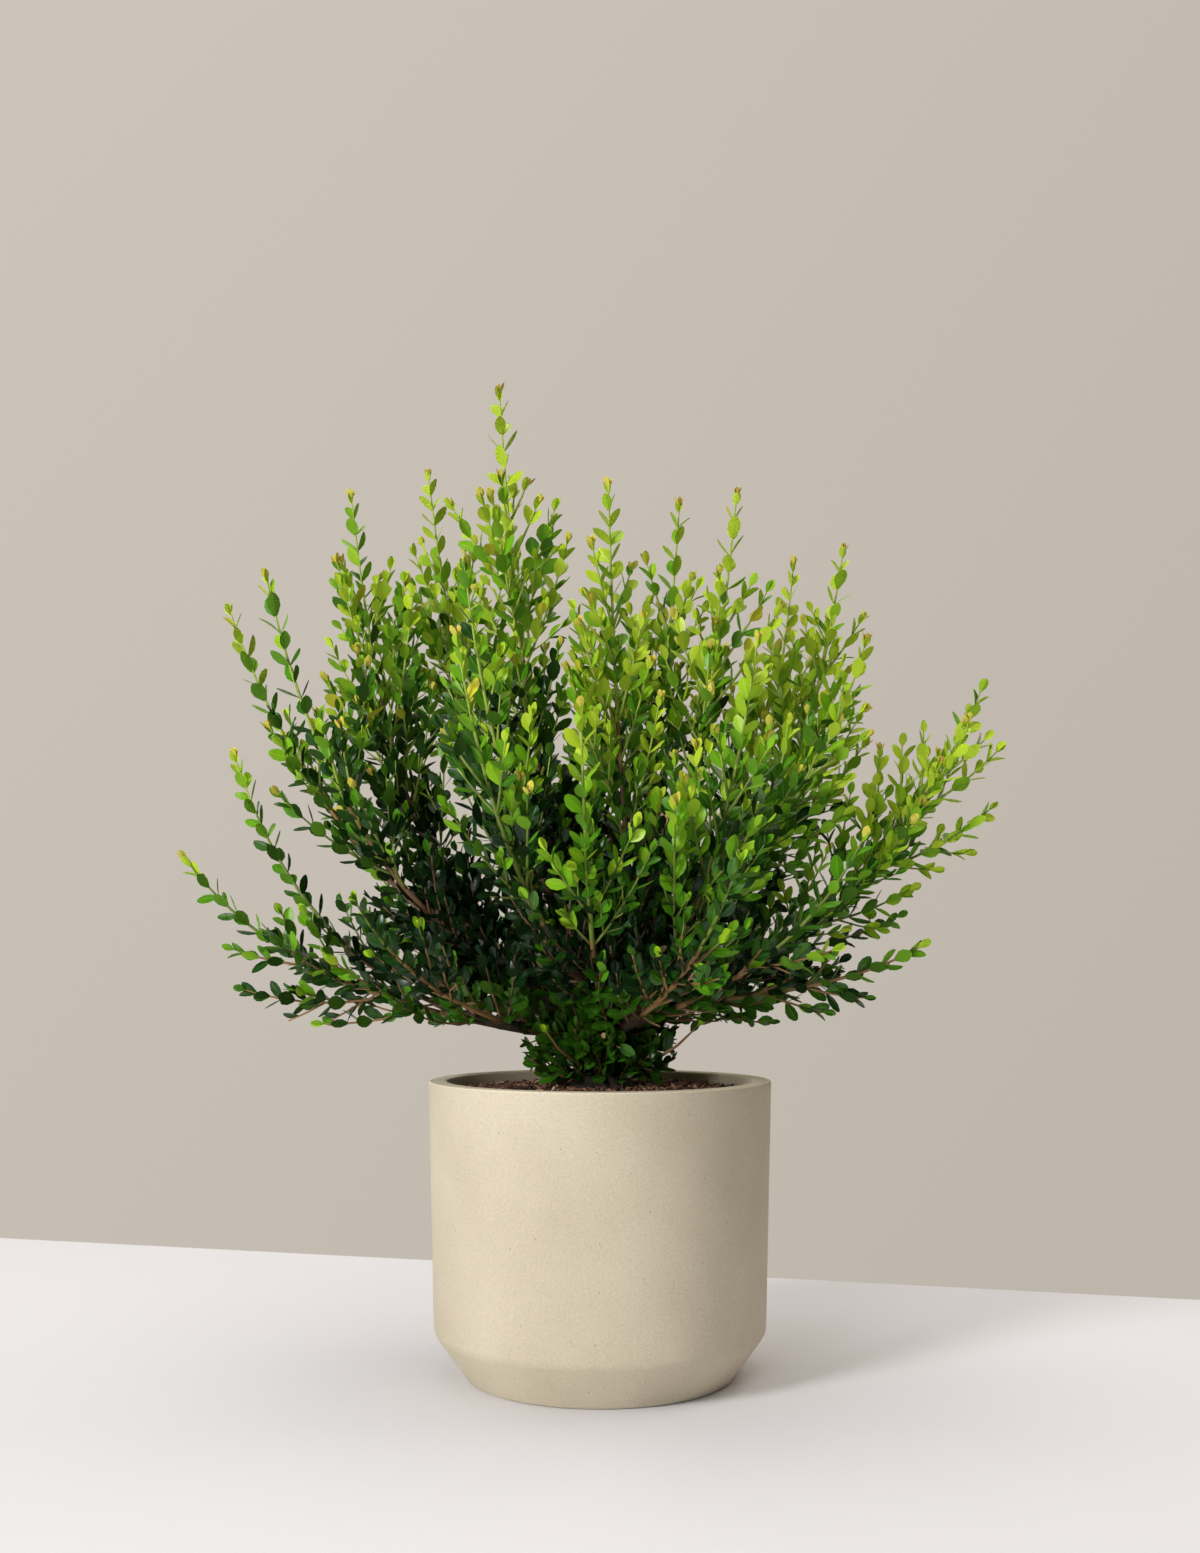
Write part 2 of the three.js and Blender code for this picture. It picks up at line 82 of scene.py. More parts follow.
# name: parent, start (mm up the trunk or share along the parent), azimuth, reach and height over the soil
# of its tip, and the share of that height at the bend if it isn't BEND_UP
LIMBS = {
    "low_left": ("trunk", 38, 184, 312, 166, 0.1),
    "left_wand": ("low_left", 0.22, 169, 303, 256, 0.16),
    "front_left_low": ("low_left", 0.16, 226, 232, 130),
    "left_tall": ("trunk", 47, 177, 296, 370),
    "left_spray": ("left_tall", 0.22, 196, 258, 374),
    "upper_left": ("left_tall", 0.16, 162, 220, 478, 0.18),
    "top_wand": ("trunk", 54, 167, 84, 550),
    "back_left_tall": ("top_wand", 0.18, 138, 205, 520),
    "inner_left": ("top_wand", 0.14, 220, 130, 380),
    "front_mid": ("trunk", 46, 266, 184, 256),
    "front_left_mid": ("front_mid", 0.17, 238, 184, 308),
    "front_right_low": ("trunk", 36, 292, 232, 152),
    "front_right_mid": ("front_right_low", 0.17, 306, 184, 308),
    "lower_right": ("front_right_low", 0.22, 325, 222, 176),
    "far_right": ("trunk", 42, 359, 298, 304, 0.2),
    "low_right": ("far_right", 0.16, 349, 240, 104),
    "right_centre": ("trunk", 50, 353, 108, 452),
    "centre": ("right_centre", 0.14, 282, 32, 456),
    "right_mid": ("right_centre", 0.18, 346, 206, 330),
    "back_right_low": ("trunk", 34, 42, 272, 190),
    "right_wand": ("back_right_low", 0.16, 16, 210, 428),
    "back_right_tall": ("back_right_low", 0.22, 38, 216, 436),
    "back_mid": ("trunk", 46, 92, 196, 370),
    "centre_right": ("back_mid", 0.16, 45, 94, 470),
    "back_low": ("trunk", 39, 104, 262, 176),
    "back_left_low": ("back_low", 0.2, 142, 268, 200),
    "base_left": ("trunk", 12, 236, 66, 40),
    "base_right": ("trunk", 9, 330, 78, 42),
    "heart_left": ("trunk", 50, 198, 58, 178),
    "heart_front": ("trunk", 46, 286, 62, 148),
    "heart_right": ("trunk", 53, 20, 56, 196),
}
SHORT_LIMBS = ("base", "heart")  # the names of those without a bough begin so

# The share of a limb that is bare bough, and the radius where the bough starts
TRUNK_BOUGH = (0.3, 5.6)
FORK_BOUGH = (0.17, 3.7)
BOUGH_END_RADIUS = 2.7
BOUGH_OVERRUN = 0.004  # share of a limb that its bough runs on into the stem
PATH_STEPS = 8  # of a bough or stem where distances to it are measured

# The growth rule of the foliage
INTERNODE = 15
SIDE_SHARE = 0.5
SIDE_LENGTHS = (0.75, 0.5)  # over the usual length: the least, and what chance adds
LONGEST_SHOOT = 100
SHORTEST_SHOOT = 32
SHOOT_ANGLE = 32
ANGLE_SPREAD = 12
TURN_SPREAD = 20
GROWTH = (INTERNODE, 0.05, 0.075)  # a shoot's step, sway and lift
TWIG_CLEAR = 3.6  # of the edge of its own space
LIMB_CLEAR = 1.2
SOIL_CLEAR = 4
NECK_RADIUS = 62  # beyond this radius the crown stays
NECK_HEIGHT = 47  # this far above the soil
SEED_OF_LIMB, SEED_OF_NODE, SEED_OF_SIDE, FIRST_SEED = 1009, 31, 7, 5
STEM_SEED, INNER_SEED, TRUNK_SEED, SOIL_SEED = 77, 3, 4242, 5

# Finer growth, which the solids lack
FINE_SHARE = 0.5  # length of a second shoot over what is left of the first
SHORTEST_FINE = 22
SIDE_CHANCE = 0.78
FINE_CHANCE = 0.6
RADII = (2.1, 1.25, 0.9)  # of a stem, its shoots and theirs
INNER_RADIUS = 1.1
LEAF_REACH = 6  # how far past its own space a leaf may stand,
LEAF_TEST = 0.7  # at this share of its length
LEAF_SOIL_CLEAR = 2
BARE_TIP = 96  # mm of a stem's tip without side shoots, and on these limbs
BARE_TIPS = {
    "left_wand": 215, "left_spray": 160, "left_tall": 145, "low_left": 112, "top_wand": 100,
    "low_right": 90, "right_wand": 65, "right_mid": 60, "far_right": 52,
}
SHORT_BARE_TIP = 24
BUSHY_TIPS = {"far_right": 1.45, "low_left": 1.2}  # how much longer their side shoots are
OPEN_SIDES = {"left_tall": 330, "left_spray": 230, "left_wand": 330}  # mm of bare outer side
OUTWARD = 0.1  # how much more than its stem a shoot on that side leans out

# Leaves are larger and their pairs farther apart at the top of the crown than at its foot.
LEAF_LENGTHS = (16.5, 19.5)
PAIR_SPACINGS = (8.7, 14.5)
LEAF_ASPECTS = (0.55, 0.56)
SIZES_BY_AGE = (0.62, 0.84, 0.96, 1)  # of the pairs from a shoot's tip back
ANGLES_BY_AGE = (16, 24, 31, 36)
LEAF_ROLL, TIP_ROLL = 24, 8  # degrees about its own length that chance turns a leaf, and one at a tip
TURN_CHANCE, ANGLE_CHANCE = 8, 6  # degrees about its twig, and away from it
LENGTH_CHANCE, WIDTH_CHANCE = (0.88, 1.12), (0.86, 1.08)
YOUNG_FOLD, OLD_FOLD = (14, 30), (-14, 22)  # degrees that each half of a leaf is folded up
YOUNG_CURL, OLD_CURL = (-0.4, 0), (-0.2, 0.4)  # radians that a leaf bends down along its length
LEAF_STAGGER = 0.4  # between the two leaves of a pair
LEAF_THICKNESS = 0.45
EDGE_TUCK = 0.12  # how far a leaf's edge turns down, over its half width

# Shoots in the heart of the crown, on the boughs and round the trunk
INNER_STEP = 7
INNER_GROWTH = (10, 0.2, 0.16)
INNER_LENGTH = 62
INNER_ANGLE = 48
INNER_TURN_SPREAD = 50
INNER_SOIL_CLEAR = 3
TRUNK_SHOOTS = 150
GOLDEN_ANGLE = 137.5
TRUNK_SHOOT_HEIGHT = (3, 50)  # the least, and what chance adds
TRUNK_SHOOT_RISE = (0.15, 0.9)
TRUNK_SHOOT_LENGTH = (26, 34)
LOW_BIAS = 1.4  # above 1, more of them are near the soil


def leaning(along, across, turn, angle):
    """The direction at an angle from a twig, on the side given by a turn about it."""
    turn, angle = radians(turn), radians(angle)
    side = across * cos(turn) + np.cross(along, across) * sin(turn)
    return along * cos(angle) + side * sin(angle)


def unit(vector):
    return vector / np.linalg.norm(vector)


def square_to(along, across):
    return unit(across - along * np.dot(along, across))


def run_along(points):
    """The length of a path up to each of its points."""
    return np.concatenate([[0], np.cumsum(np.linalg.norm(np.diff(points, axis=0), axis=1))])


class Seeded:
    """Random numbers from 0 to 1 that are the same in every run."""

    def __init__(self, seed):
        self.state = seed & 0xFFFFFFFF
        for _ in range(4):
            self.next()

    def next(self):
        self.state = (self.state * 1664525 + 1013904223) & 0xFFFFFFFF
        return self.state / 2**32


def chosen(span, chance):
    """The first of two values, with the share of the second that chance from 0 to 1 gives."""
    return span[0] + span[1] * chance


class Limb:
    """A limb's curve, measured along its length, with what grows on it."""

    STEPS = 200

    def __init__(self, index, name, parent, start, tip, up):
        bend = start + (tip - start) * BEND_OUT
        bend[2] = start[2] + (tip[2] - start[2]) * up
        self.index, self.name, self.short = index, name, name.startswith(SHORT_LIMBS)
        self.ends = (start, bend, tip)
        self.run = run_along(self.at(np.linspace(0, 1, self.STEPS + 1)))
        self.length = self.run[-1]
        share, self.bough_radius = TRUNK_BOUGH if parent == "trunk" else FORK_BOUGH
        self.bough_share = 0 if self.short else share
        self.level = unit(np.cross([0, 0, 1], tip - start))
        self.bare_tip = SHORT_BARE_TIP if self.short else BARE_TIPS.get(name, BARE_TIP)

    def at(self, t):
        start, bend, tip = self.ends
        t = np.asarray(t, float)[..., None]
        return (1 - t) ** 2 * start + 2 * (1 - t) * t * bend + t**2 * tip

    def parameter(self, share):
        return np.interp(np.asarray(share) * self.length, self.run, np.linspace(0, 1, self.STEPS + 1))

    def point(self, share):
        return self.at(self.parameter(share))

    def points(self, first, last, steps):
        return self.point(np.linspace(first, last, steps + 1))

    def tangent(self, share):
        start, bend, tip = self.ends
        t = self.parameter(share)
        return unit((1 - t) * (bend - start) + t * (tip - bend))


def trunk_point(height):
    return TRUNK_FOOT + (TRUNK_TOP - TRUNK_FOOT) * height / TRUNK_HEIGHT


def grow_limbs():
    limbs = {}
    for index, (name, row) in enumerate(LIMBS.items()):
        parent, begin, azimuth, reach, height, *bend = row
        start = trunk_point(begin) if parent == "trunk" else limbs[parent].point(begin)
        angle = radians(azimuth)
        tip = np.array([reach * cos(angle), reach * sin(angle), SOIL_TOP + height])
        limbs[name] = Limb(index, name, parent, start, tip, bend[0] if bend else BEND_UP)
    return list(limbs.values())


class Space:
    """Which stem a point is nearest to, and whether it is clear of the limbs and the planter."""

    def __init__(self, limbs):
        self.limb_of = np.repeat([limb.index for limb in limbs], PATH_STEPS)
        self.stems = self.segments(limb.points(limb.bough_share, 1, PATH_STEPS) for limb in limbs)
        boughs = (limb.points(0, limb.bough_share, PATH_STEPS) for limb in limbs if not limb.short)
        self.boughs = self.segments(boughs)

    @staticmethod
    def segments(paths):
        starts, steps = zip(*[(path[:-1], np.diff(path, axis=0)) for path in paths])
        return np.concatenate(starts), np.concatenate(steps)

    @staticmethod
    def distances(point, segments):
        starts, steps = segments
        share = np.einsum("ij,ij->i", point - starts, steps) / np.einsum("ij,ij->i", steps, steps)
        nearest = starts + steps * np.clip(share, 0, 1)[:, None]
        return np.linalg.norm(nearest - point, axis=1)

    def over_soil(self, point, margin=SOIL_CLEAR):
        from_axis = hypot(*point[:2])
        lowest = NECK_HEIGHT if from_axis > NECK_RADIUS else margin
        if point[2] < SOIL_TOP + lowest:
            return False
        over_wall = RIM_RADIUS - POT_WALL - margin < from_axis < RIM_RADIUS + margin
        return not (over_wall and point[2] < POT_HEIGHT + margin)

    def holds(self, limb, point, margin):
        if not self.over_soil(point):
            return False
        trunk_reach = TRUNK_RADIUS + ROOT_FLARE + LIMB_CLEAR
        if hypot(*point[:2]) < trunk_reach and point[2] < TRUNK_TOP[2] + LIMB_CLEAR:
            return False
        if self.distances(point, self.boughs).min() < TRUNK_BOUGH[1] + LIMB_CLEAR:
            return False
        distances = self.distances(point, self.stems)
        own = self.limb_of == limb.index
        return distances[own].min() + margin < distances[~own].min()


def shoot(space, limb, node, turn, length, draw, inner=False):
    """The nodes of a shoot, which leaves its twig at an angle and turns up as it grows.

    An inner one keeps off the soil and planter only, and any other keeps to its limb's own space.
    """
    at, parent_along, parent_across = node
    chance = draw.next()
    angle = INNER_ANGLE * (0.7 + 0.6 * chance) if inner else SHOOT_ANGLE + ANGLE_SPREAD * (chance - 0.5)
    step, sway, lift = INNER_GROWTH if inner else GROWTH
    along = leaning(parent_along, parent_across, turn, angle)
    across = square_to(along, np.cross(parent_along, along))
    nodes = [(at, along, across)]
    for _ in range(int(length / step)):
        along = unit(along + across * sway * (draw.next() - 0.5) + np.array([0, 0, lift]))
        across = square_to(along, across)
        at = at + along * step
        if not (space.over_soil(at, INNER_SOIL_CLEAR) if inner else space.holds(limb, at, TWIG_CLEAR)):
            break
        nodes.append((at, along, across))
    return nodes


def stem_nodes(limb):
    count = int(limb.length * (1 - limb.bough_share) / INTERNODE)
    nodes = []
    for i in range(count):
        share = 1 - (count - 1 - i) * INTERNODE / limb.length
        along = limb.tangent(share)
        nodes.append((limb.point(share), along, square_to(along, limb.level)))
    return nodes


class Spray:
    """A leafy stem or shoot: its nodes, its order from the stem on, its thickness and its tint."""

    def __init__(self, limb, nodes, order, draw, inner=False):
        self.limb, self.nodes, self.order = limb, nodes, order
        self.radius = INNER_RADIUS if inner else RADII[order]
        self.inner = inner  # it grows in the heart of the crown, where all masses meet
        self.stalk = None  # the foot of the bud at its tip
        self.tint = draw.next() - 0.5
        self.seed = int(draw.next() * 1e6)


def side_shoots(space, limb):
    """A stem's side shoots and theirs, by the rule that the solids follow with few of them."""
    nodes = stem_nodes(limb)
    sprays = [Spray(limb, nodes, 0, Seeded(limb.index + STEM_SEED))]
    for i, node in enumerate(nodes):
        left = (len(nodes) - 1 - i) * INTERNODE
        for side in (0, 1):
            seed = limb.index * SEED_OF_LIMB + i * SEED_OF_NODE + side * SEED_OF_SIDE + FIRST_SEED
            draw = Seeded(seed)
            usual = min(LONGEST_SHOOT, SIDE_SHARE * left * BUSHY_TIPS.get(limb.name, 1))
            wanted = usual * chosen(SIDE_LENGTHS, draw.next())
            if left < limb.bare_tip or wanted < (SHORTEST_FINE if limb.short else SHORTEST_SHOOT):
                continue
            turn = i * 90 + side * 180 + TURN_SPREAD * (draw.next() - 0.5)
            first = shoot(space, limb, node, turn, wanted, draw)
            if len(first) < 3 or draw.next() > SIDE_CHANCE:
                continue
            if left < OPEN_SIDES.get(limb.name, 0) and leans_out(first[0]) > leans_out(node) + OUTWARD:
                continue
            sprays.append(Spray(limb, first, 1, draw))
            sprays += fine_shoots(space, limb, first, draw)
    return sprays


def leans_out(node):
    """How much a node's twig points away from the trunk."""
    at, along, _ = node
    return along[:2] @ unit(at[:2])


def inner_shoots(space, limb):
    """Short leafy shoots that rise from a bare bough and hide the shrub's heart."""
    sprays = []
    draw = Seeded(limb.index * SEED_OF_LIMB + INNER_SEED)
    steps = max(2, int(limb.length * limb.bough_share / INNER_STEP))
    for i in range(1, steps + 1):
        share = limb.bough_share * i / steps
        along = limb.tangent(share)
        node = (limb.point(share), along, square_to(along, limb.level))
        for side in (0, 1):
            turn = i * 90 + side * 180 + INNER_TURN_SPREAD * (draw.next() - 0.5)
            sprays += inner_spray(space, limb, node, turn, INNER_LENGTH * (0.5 + draw.next()), draw)
    return sprays


def inner_spray(space, limb, node, turn, length, draw):
    nodes = shoot(space, limb, node, turn, length, draw, inner=True)
    return [Spray(limb, nodes, 1, draw, inner=True)] if len(nodes) > 2 else []


def trunk_shoots(space, limb):
    """Leafy shoots that stand round the trunk and hide most of it."""
    sprays = []
    draw = Seeded(TRUNK_SEED)
    for i in range(TRUNK_SHOOTS):
        azimuth = radians(i * GOLDEN_ANGLE)
        height = chosen(TRUNK_SHOOT_HEIGHT, draw.next() ** LOW_BIAS)
        out = np.array([cos(azimuth), sin(azimuth), 0])
        at = trunk_point(height) + out * TRUNK_TOP_RADIUS
        rise = chosen(TRUNK_SHOOT_RISE, draw.next())
        node = (at, unit(out + np.array([0, 0, rise])), np.array([out[1], -out[0], 0]))
        turn = 360 * draw.next()
        sprays += inner_spray(space, limb, node, turn, chosen(TRUNK_SHOOT_LENGTH, draw.next()), draw)
    return sprays


def fine_shoots(space, limb, first, draw):
    """The shoots of a side shoot."""
    sprays = []
    for k, node in enumerate(first[1:-1], start=1):
        left = (len(first) - 1 - k) * INTERNODE
        for side in (0, 1):
            wanted = FINE_SHARE * left * chosen(SIDE_LENGTHS, draw.next())
            chance = draw.next()
            if wanted < SHORTEST_FINE or chance > FINE_CHANCE:
                continue
            turn = k * 90 + side * 180 + TURN_SPREAD * (draw.next() - 0.5)
            second = shoot(space, limb, node, turn, wanted, draw)
            if len(second) > 1:
                sprays.append(Spray(limb, second, 2, draw))
    return sprays


# Tones of a leaf's upper side, from the darkest, dealt to the crown's heart as painted shade, to the palest
# at its tips, then of buds, dead and yellow leaves
LEAF_TONES = [
    (0.005, 0.024, 0.005), (0.012, 0.055, 0.006), (0.034, 0.125, 0.007), (0.072, 0.235, 0.008),
    (0.138, 0.355, 0.01), (0.205, 0.435, 0.014), (0.305, 0.53, 0.018), (0.44, 0.61, 0.03),
    (0.64, 0.56, 0.08), (0.46, 0.29, 0.055), (0.52, 0.33, 0.19), (0.64, 0.61, 0.04),
]
GREEN_BUD, PALEST_TONE, BUD_GOLD, BUD_BRONZE, DEAD, YELLOW = 6, 7, 8, 9, 10, 11
# How much paler a limb's leaves are than the others'
LIMB_TONES = {
    "centre": 0.22, "low_left": 0.05, "right_centre": 0.04, "inner_left": 0.03, "front_mid": 0.03,
    "far_right": 0.02, "front_left_mid": -0.02, "right_mid": -0.03, "lower_right": -0.04,
    "left_wand": -0.04, "front_right_mid": -0.05, "front_right_low": -0.08, "heart_front": -0.08,
    "back_left_tall": -0.1, "heart_left": -0.14, "upper_left": -0.16, "left_tall": -0.22,
    "left_spray": -0.22, "front_left_low": -0.24,
}
# A leaf's score adds these up; its terms by height, depth in the crown, right side and heart paint light
# and shade into the tone. A pair is the value at the trunk's foot, and what height or distance adds.
# Painted light from above, with the paler young growth there; painted light far out and painted shade deep
# inside; painted light on the right; painted shade in the heart
HEIGHT_AGE_AND_PAINTED_LIGHT, HEIGHT_BY_OUT = 0.72, (0.4, 0.6)
DEPTH_PAINTED_LIGHT_AND_SHADE, MIDDLE_OUT = 0.68, 0.54
TIP_TONE, TIP_PAIRS = (0.08, 0.22), 3
RIGHT_PAINTED_LIGHT, HEART_PAINTED_SHADE, CHANCE_TONE = 0.16, 0.08, 0.12
SHOOT_TONE, SHOOT_BY_TIP, SHOOT_BY_HEIGHT = 0.6, 0.5, (0.7, 0.4)
TONES_PER_SCORE = 9.6
PAINTED_LIGHT_FLOOR_BY_HEIGHT, PAINTED_LIGHT_FLOOR_BY_OUT = (-1.2, 4), (-2, 4.4)  # the darkest tone that a leaf may have, rising high up and far out as painted light
LOW_PART, LEAST_LOW, LEAST_INNER = 0.13, 1, 2  # and the same in this lowest share of the crown, which limits the painted shade round the trunk
YELLOW_PART, YELLOW_PAIRS = 0.5, 4
YELLOW_CHANCE = 0.045  # of a leaf near a shoot's tip in the upper crown
DEAD_CHANCE = 0.01
BUD_CHANCE = 0.8  # of a side shoot at the top of the crown, and less lower down
BRONZE_CHANCE = 0.6
GREEN_BUD_PART = 0.3  # share of the crown's height under which buds are green
BUD_STALKS, BUD_LENGTHS = (1, 7), (8, 11)
BUD_ANGLES, BUD_SIZES, BUD_PAIR_STEP = (38, 16), (1, 0.7), 1.5  # of its lower and its upper pair of leaves
BUD_ASPECT, BUD_FOLD, BUD_CURL, BUD_FOOT = 0.55, 20, -0.5, 2
OUT_PULL = 0.2  # how much a leaf faces out of the crown
OUT_RISE = 60
LIGHT_PULL = 0.3  # and how much towards the strongest light
LIGHT_WAY = (-0.42, -0.7, 0.58)
CROWN_REACH, CROWN_DEPTH, CROWN_HEIGHT = 300, 240, 540  # of the crown from the trunk's foot, for its tones

LEAF_STATIONS = np.array([0, 0.16, 0.42, 0.7, 0.92])
LEAF_HALF_WIDTHS = np.array([0.08, 0.48, 0.96, 0.94, 0.49])
LEAF_COLUMNS = np.array([-1, -0.08, 0.08, 1])  # with the midrib between the middle two
UPPER, MIDRIB, UNDER = 0, 1, 2  # the parts of a leaf that differ in colour


def leaf_side(length, width, fold, curl, lift):
    """One side of every leaf in its own frame: points as (leaf, row, column, xyz), and its tip."""
    s = LEAF_STATIONS[:, None]
    half = LEAF_HALF_WIDTHS[:, None] * width / 2
    turn = curl * s
    reach = length * s * (1 - turn**2 / 6)
    drop = length * s * turn / 2
    edge = np.abs(LEAF_COLUMNS)
    z = edge * half * np.tan(fold) - EDGE_TUCK * half * edge**3 - drop
    z = z + lift * (1 - edge**2) * np.sin(pi * (0.1 + 0.8 * s))
    points = np.stack(np.broadcast_arrays(LEAF_COLUMNS * half, reach, z), axis=-1)
    tip = np.stack([0 * length, length * (1 - curl**2 / 6), -length * curl / 2], axis=-1)
    return points, tip


def leaf_mesh(leaves):
    """Vertices, faces, slots and rims of leaves, each a closed blade with an upper and a lower side."""
    at, along, face, *sizes, tone = (np.array(row, float) for row in zip(*leaves))
    rows, columns = len(LEAF_STATIONS), len(LEAF_COLUMNS)
    sizes = [size[:, None, None] for size in sizes]
    above, tip = leaf_side(*sizes, LEAF_THICKNESS / 2)
    below, _ = leaf_side(*sizes, -LEAF_THICKNESS / 2)
    sides = [side.reshape(len(at), -1, 3) for side in (above, below[:, :, 1:-1])]
    local = np.concatenate([*sides, tip[:, 0]], axis=1)
    frames = np.stack([np.cross(along, face), along, face], axis=1)
    vertices = at[:, None] + np.einsum("nvk,nkj->nvj", local, frames)

    upper = np.arange(rows * columns).reshape(rows, columns)
    lower = upper.copy()
    lower[:, 1:-1] = rows * columns + np.arange(rows * (columns - 2)).reshape(rows, -1)
    end = lower[-1, -2] + 1
    faces, parts = [], []
    for r in range(rows - 1):
        for c in range(columns - 1):
            a, b, e, d = upper[r : r + 2, c : c + 2].ravel()
            faces += [(a, b, d), (a, d, e)]
            parts += [MIDRIB if c == 1 else UPPER] * 2
            a, b, e, d = lower[r : r + 2, c : c + 2].ravel()
            faces += [(a, d, b), (a, e, d)]
            parts += [UNDER] * 2
    for c in range(columns - 1):
        faces += [(upper[-1, c], upper[-1, c + 1], end), (lower[-1, c + 1], lower[-1, c], end)]
        parts += [UPPER, UNDER]
    base = [*upper[0], *lower[0, -2:0:-1]]
    faces += [(base[0], base[i + 1], base[i]) for i in range(1, len(base) - 1)]
    parts += [UNDER] * (len(base) - 2)
    faces, parts = np.array(faces), np.array(parts)
    count = vertices.shape[1]
    all_faces = faces[None] + (np.arange(len(at)) * count)[:, None, None]
    tone = tone[:, None].astype(int)
    paler = np.where(tone < PALEST_TONE, tone + 1, tone)
    slots = np.where(parts == MIDRIB, paler * 2, tone * 2 + (parts == UNDER))
    rim = np.zeros(count, bool)
    rim[[*upper[:, 0], *upper[:, -1], end]] = True
    return vertices.reshape(-1, 3), all_faces.reshape(-1, 3), slots.reshape(-1), np.tile(rim, len(at))


def mesh_object(name, vertices, faces, materials, slots=None, smooth=True, creased=None):
    """An object in metres, from points in millimetres and triangles with the slots of their materials.

    An edge between two creased vertices stays sharp.
    """
    mesh = bpy.data.meshes.new(name)
    mesh.vertices.add(len(vertices))
    mesh.vertices.foreach_set("co", (vertices * MM).ravel())
    mesh.loops.add(len(faces) * 3)
    mesh.loops.foreach_set("vertex_index", faces.ravel())
    mesh.polygons.add(len(faces))
    mesh.polygons.foreach_set("loop_start", np.arange(0, len(faces) * 3, 3))
    mesh.polygons.foreach_set("use_smooth", np.full(len(faces), smooth))
    if slots is not None:
        mesh.polygons.foreach_set("material_index", slots)
    for material in materials:
        mesh.materials.append(material)
    mesh.update(calc_edges=True)
    if creased is not None:
        ends = np.empty(len(mesh.edges) * 2, int)
        mesh.edges.foreach_get("vertices", ends)
        sharp = creased[ends].reshape(-1, 2).all(axis=1)
        mesh.attributes.new("sharp_edge", "BOOLEAN", "EDGE").data.foreach_set("value", sharp)
    mesh.validate()
    return new_object(name, mesh)


def new_object(name, data):
    thing = bpy.data.objects.new(name, data)
    bpy.context.scene.collection.objects.link(thing)
    return thing


def leaf_nodes(spray):
    """Where the pairs of leaves stand along a spray, from its tip back."""
    tracks = [np.array(rows) for rows in zip(*spray.nodes)]
    run = run_along(tracks[0])
    spacing = by_height(PAIR_SPACINGS, tracks[0][-1])
    nodes = []
    for back in range(int((run[-1] - spacing / 3) / spacing)):
        left = run[-1] - back * spacing
        at, along, across = (np.array([np.interp(left, run, axis) for axis in track.T]) for track in tracks)
        along = unit(along)
        nodes.append((at, along, square_to(along, across)))
    return nodes


def by_height(sizes, at):
    """A size between the one at the foot of the crown and the one at its top."""
    height = min(max((at[2] - SOIL_TOP) / CROWN_HEIGHT, 0), 1)
    return sizes[0] + (sizes[1] - sizes[0]) * height


def add_leaves(space, spray, leaves):
    """The pairs of leaves along a spray, smaller and more upright towards its tip."""
    draw = np.random.default_rng(spray.seed)
    for back, (at, along, across) in enumerate(leaf_nodes(spray)):
        age = min(back, len(SIZES_BY_AGE) - 1)
        for side in (0, 1):
            turn = back * 90 + side * 180 + draw.normal(0, TURN_CHANCE)
            blade = leaning(along, across, turn, ANGLES_BY_AGE[age] + draw.normal(0, ANGLE_CHANCE))
            roll = draw.normal(0, LEAF_ROLL if back else TIP_ROLL)
            face = rolled(blade, leaf_face(at, blade, along), roll)
            length = by_height(LEAF_LENGTHS, at) * SIZES_BY_AGE[age] * draw.uniform(*LENGTH_CHANCE)
            width = length * by_height(LEAF_ASPECTS, at) * draw.uniform(*WIDTH_CHANCE)
            fold = radians(draw.uniform(*(YOUNG_FOLD if back < 2 else OLD_FOLD)))
            curl = draw.uniform(*(YOUNG_CURL if back < 1 else OLD_CURL))
            tone = leaf_tone(spray, at, back, draw)
            if leaf_fits(space, spray, at, blade, length):
                seat = at - along * LEAF_STAGGER * side
                leaves.append((seat, blade, face, length, width, fold, curl, tone))
    add_bud(spray, leaves, draw)


def leaf_face(at, blade, along):
    """The way a blade faces: along its twig, out of the crown and towards the light."""
    out = unit(np.array([at[0], at[1], OUT_RISE]))
    return square_to(blade, along + OUT_PULL * out + LIGHT_PULL * np.array(LIGHT_WAY))


def rolled(blade, face, degrees):
    angle = radians(degrees)
    return face * cos(angle) + np.cross(blade, face) * sin(angle)


def add_bud(spray, leaves, draw):
    """The small cupped leaves over the bud at a shoot's tip."""
    at, along, across = spray.nodes[-1]
    height = (at[2] - SOIL_TOP) / CROWN_HEIGHT
    chance = draw.random()
    if spray.order > 1 or spray.inner or (spray.order == 1 and chance > BUD_CHANCE * height):
        return
    if height < GREEN_BUD_PART:
        tones = (GREEN_BUD, GREEN_BUD)
    else:
        tones = (BUD_GOLD, BUD_BRONZE if draw.random() < BRONZE_CHANCE else BUD_GOLD)
    stalk = draw.uniform(*BUD_STALKS)
    for pair in (0, 1):
        for side in (0, 1):
            turn = (len(spray.nodes) + pair) * 90 + side * 180
            blade = leaning(along, across, turn, BUD_ANGLES[pair] + draw.normal(0, 4))
            length = draw.uniform(*BUD_LENGTHS) * BUD_SIZES[pair]
            seat = at + along * (stalk + BUD_PAIR_STEP * pair)
            shape = (length, length * BUD_ASPECT, radians(BUD_FOLD), BUD_CURL)
            leaves.append((seat, blade, square_to(blade, along), *shape, tones[pair]))
    spray.stalk = at + along * (stalk + BUD_FOOT)


def leaf_fits(space, spray, at, blade, length):
    if not space.over_soil(at + blade * length, LEAF_SOIL_CLEAR):
        return False
    return spray.inner or space.holds(spray.limb, at + blade * length * LEAF_TEST, -LEAF_REACH)


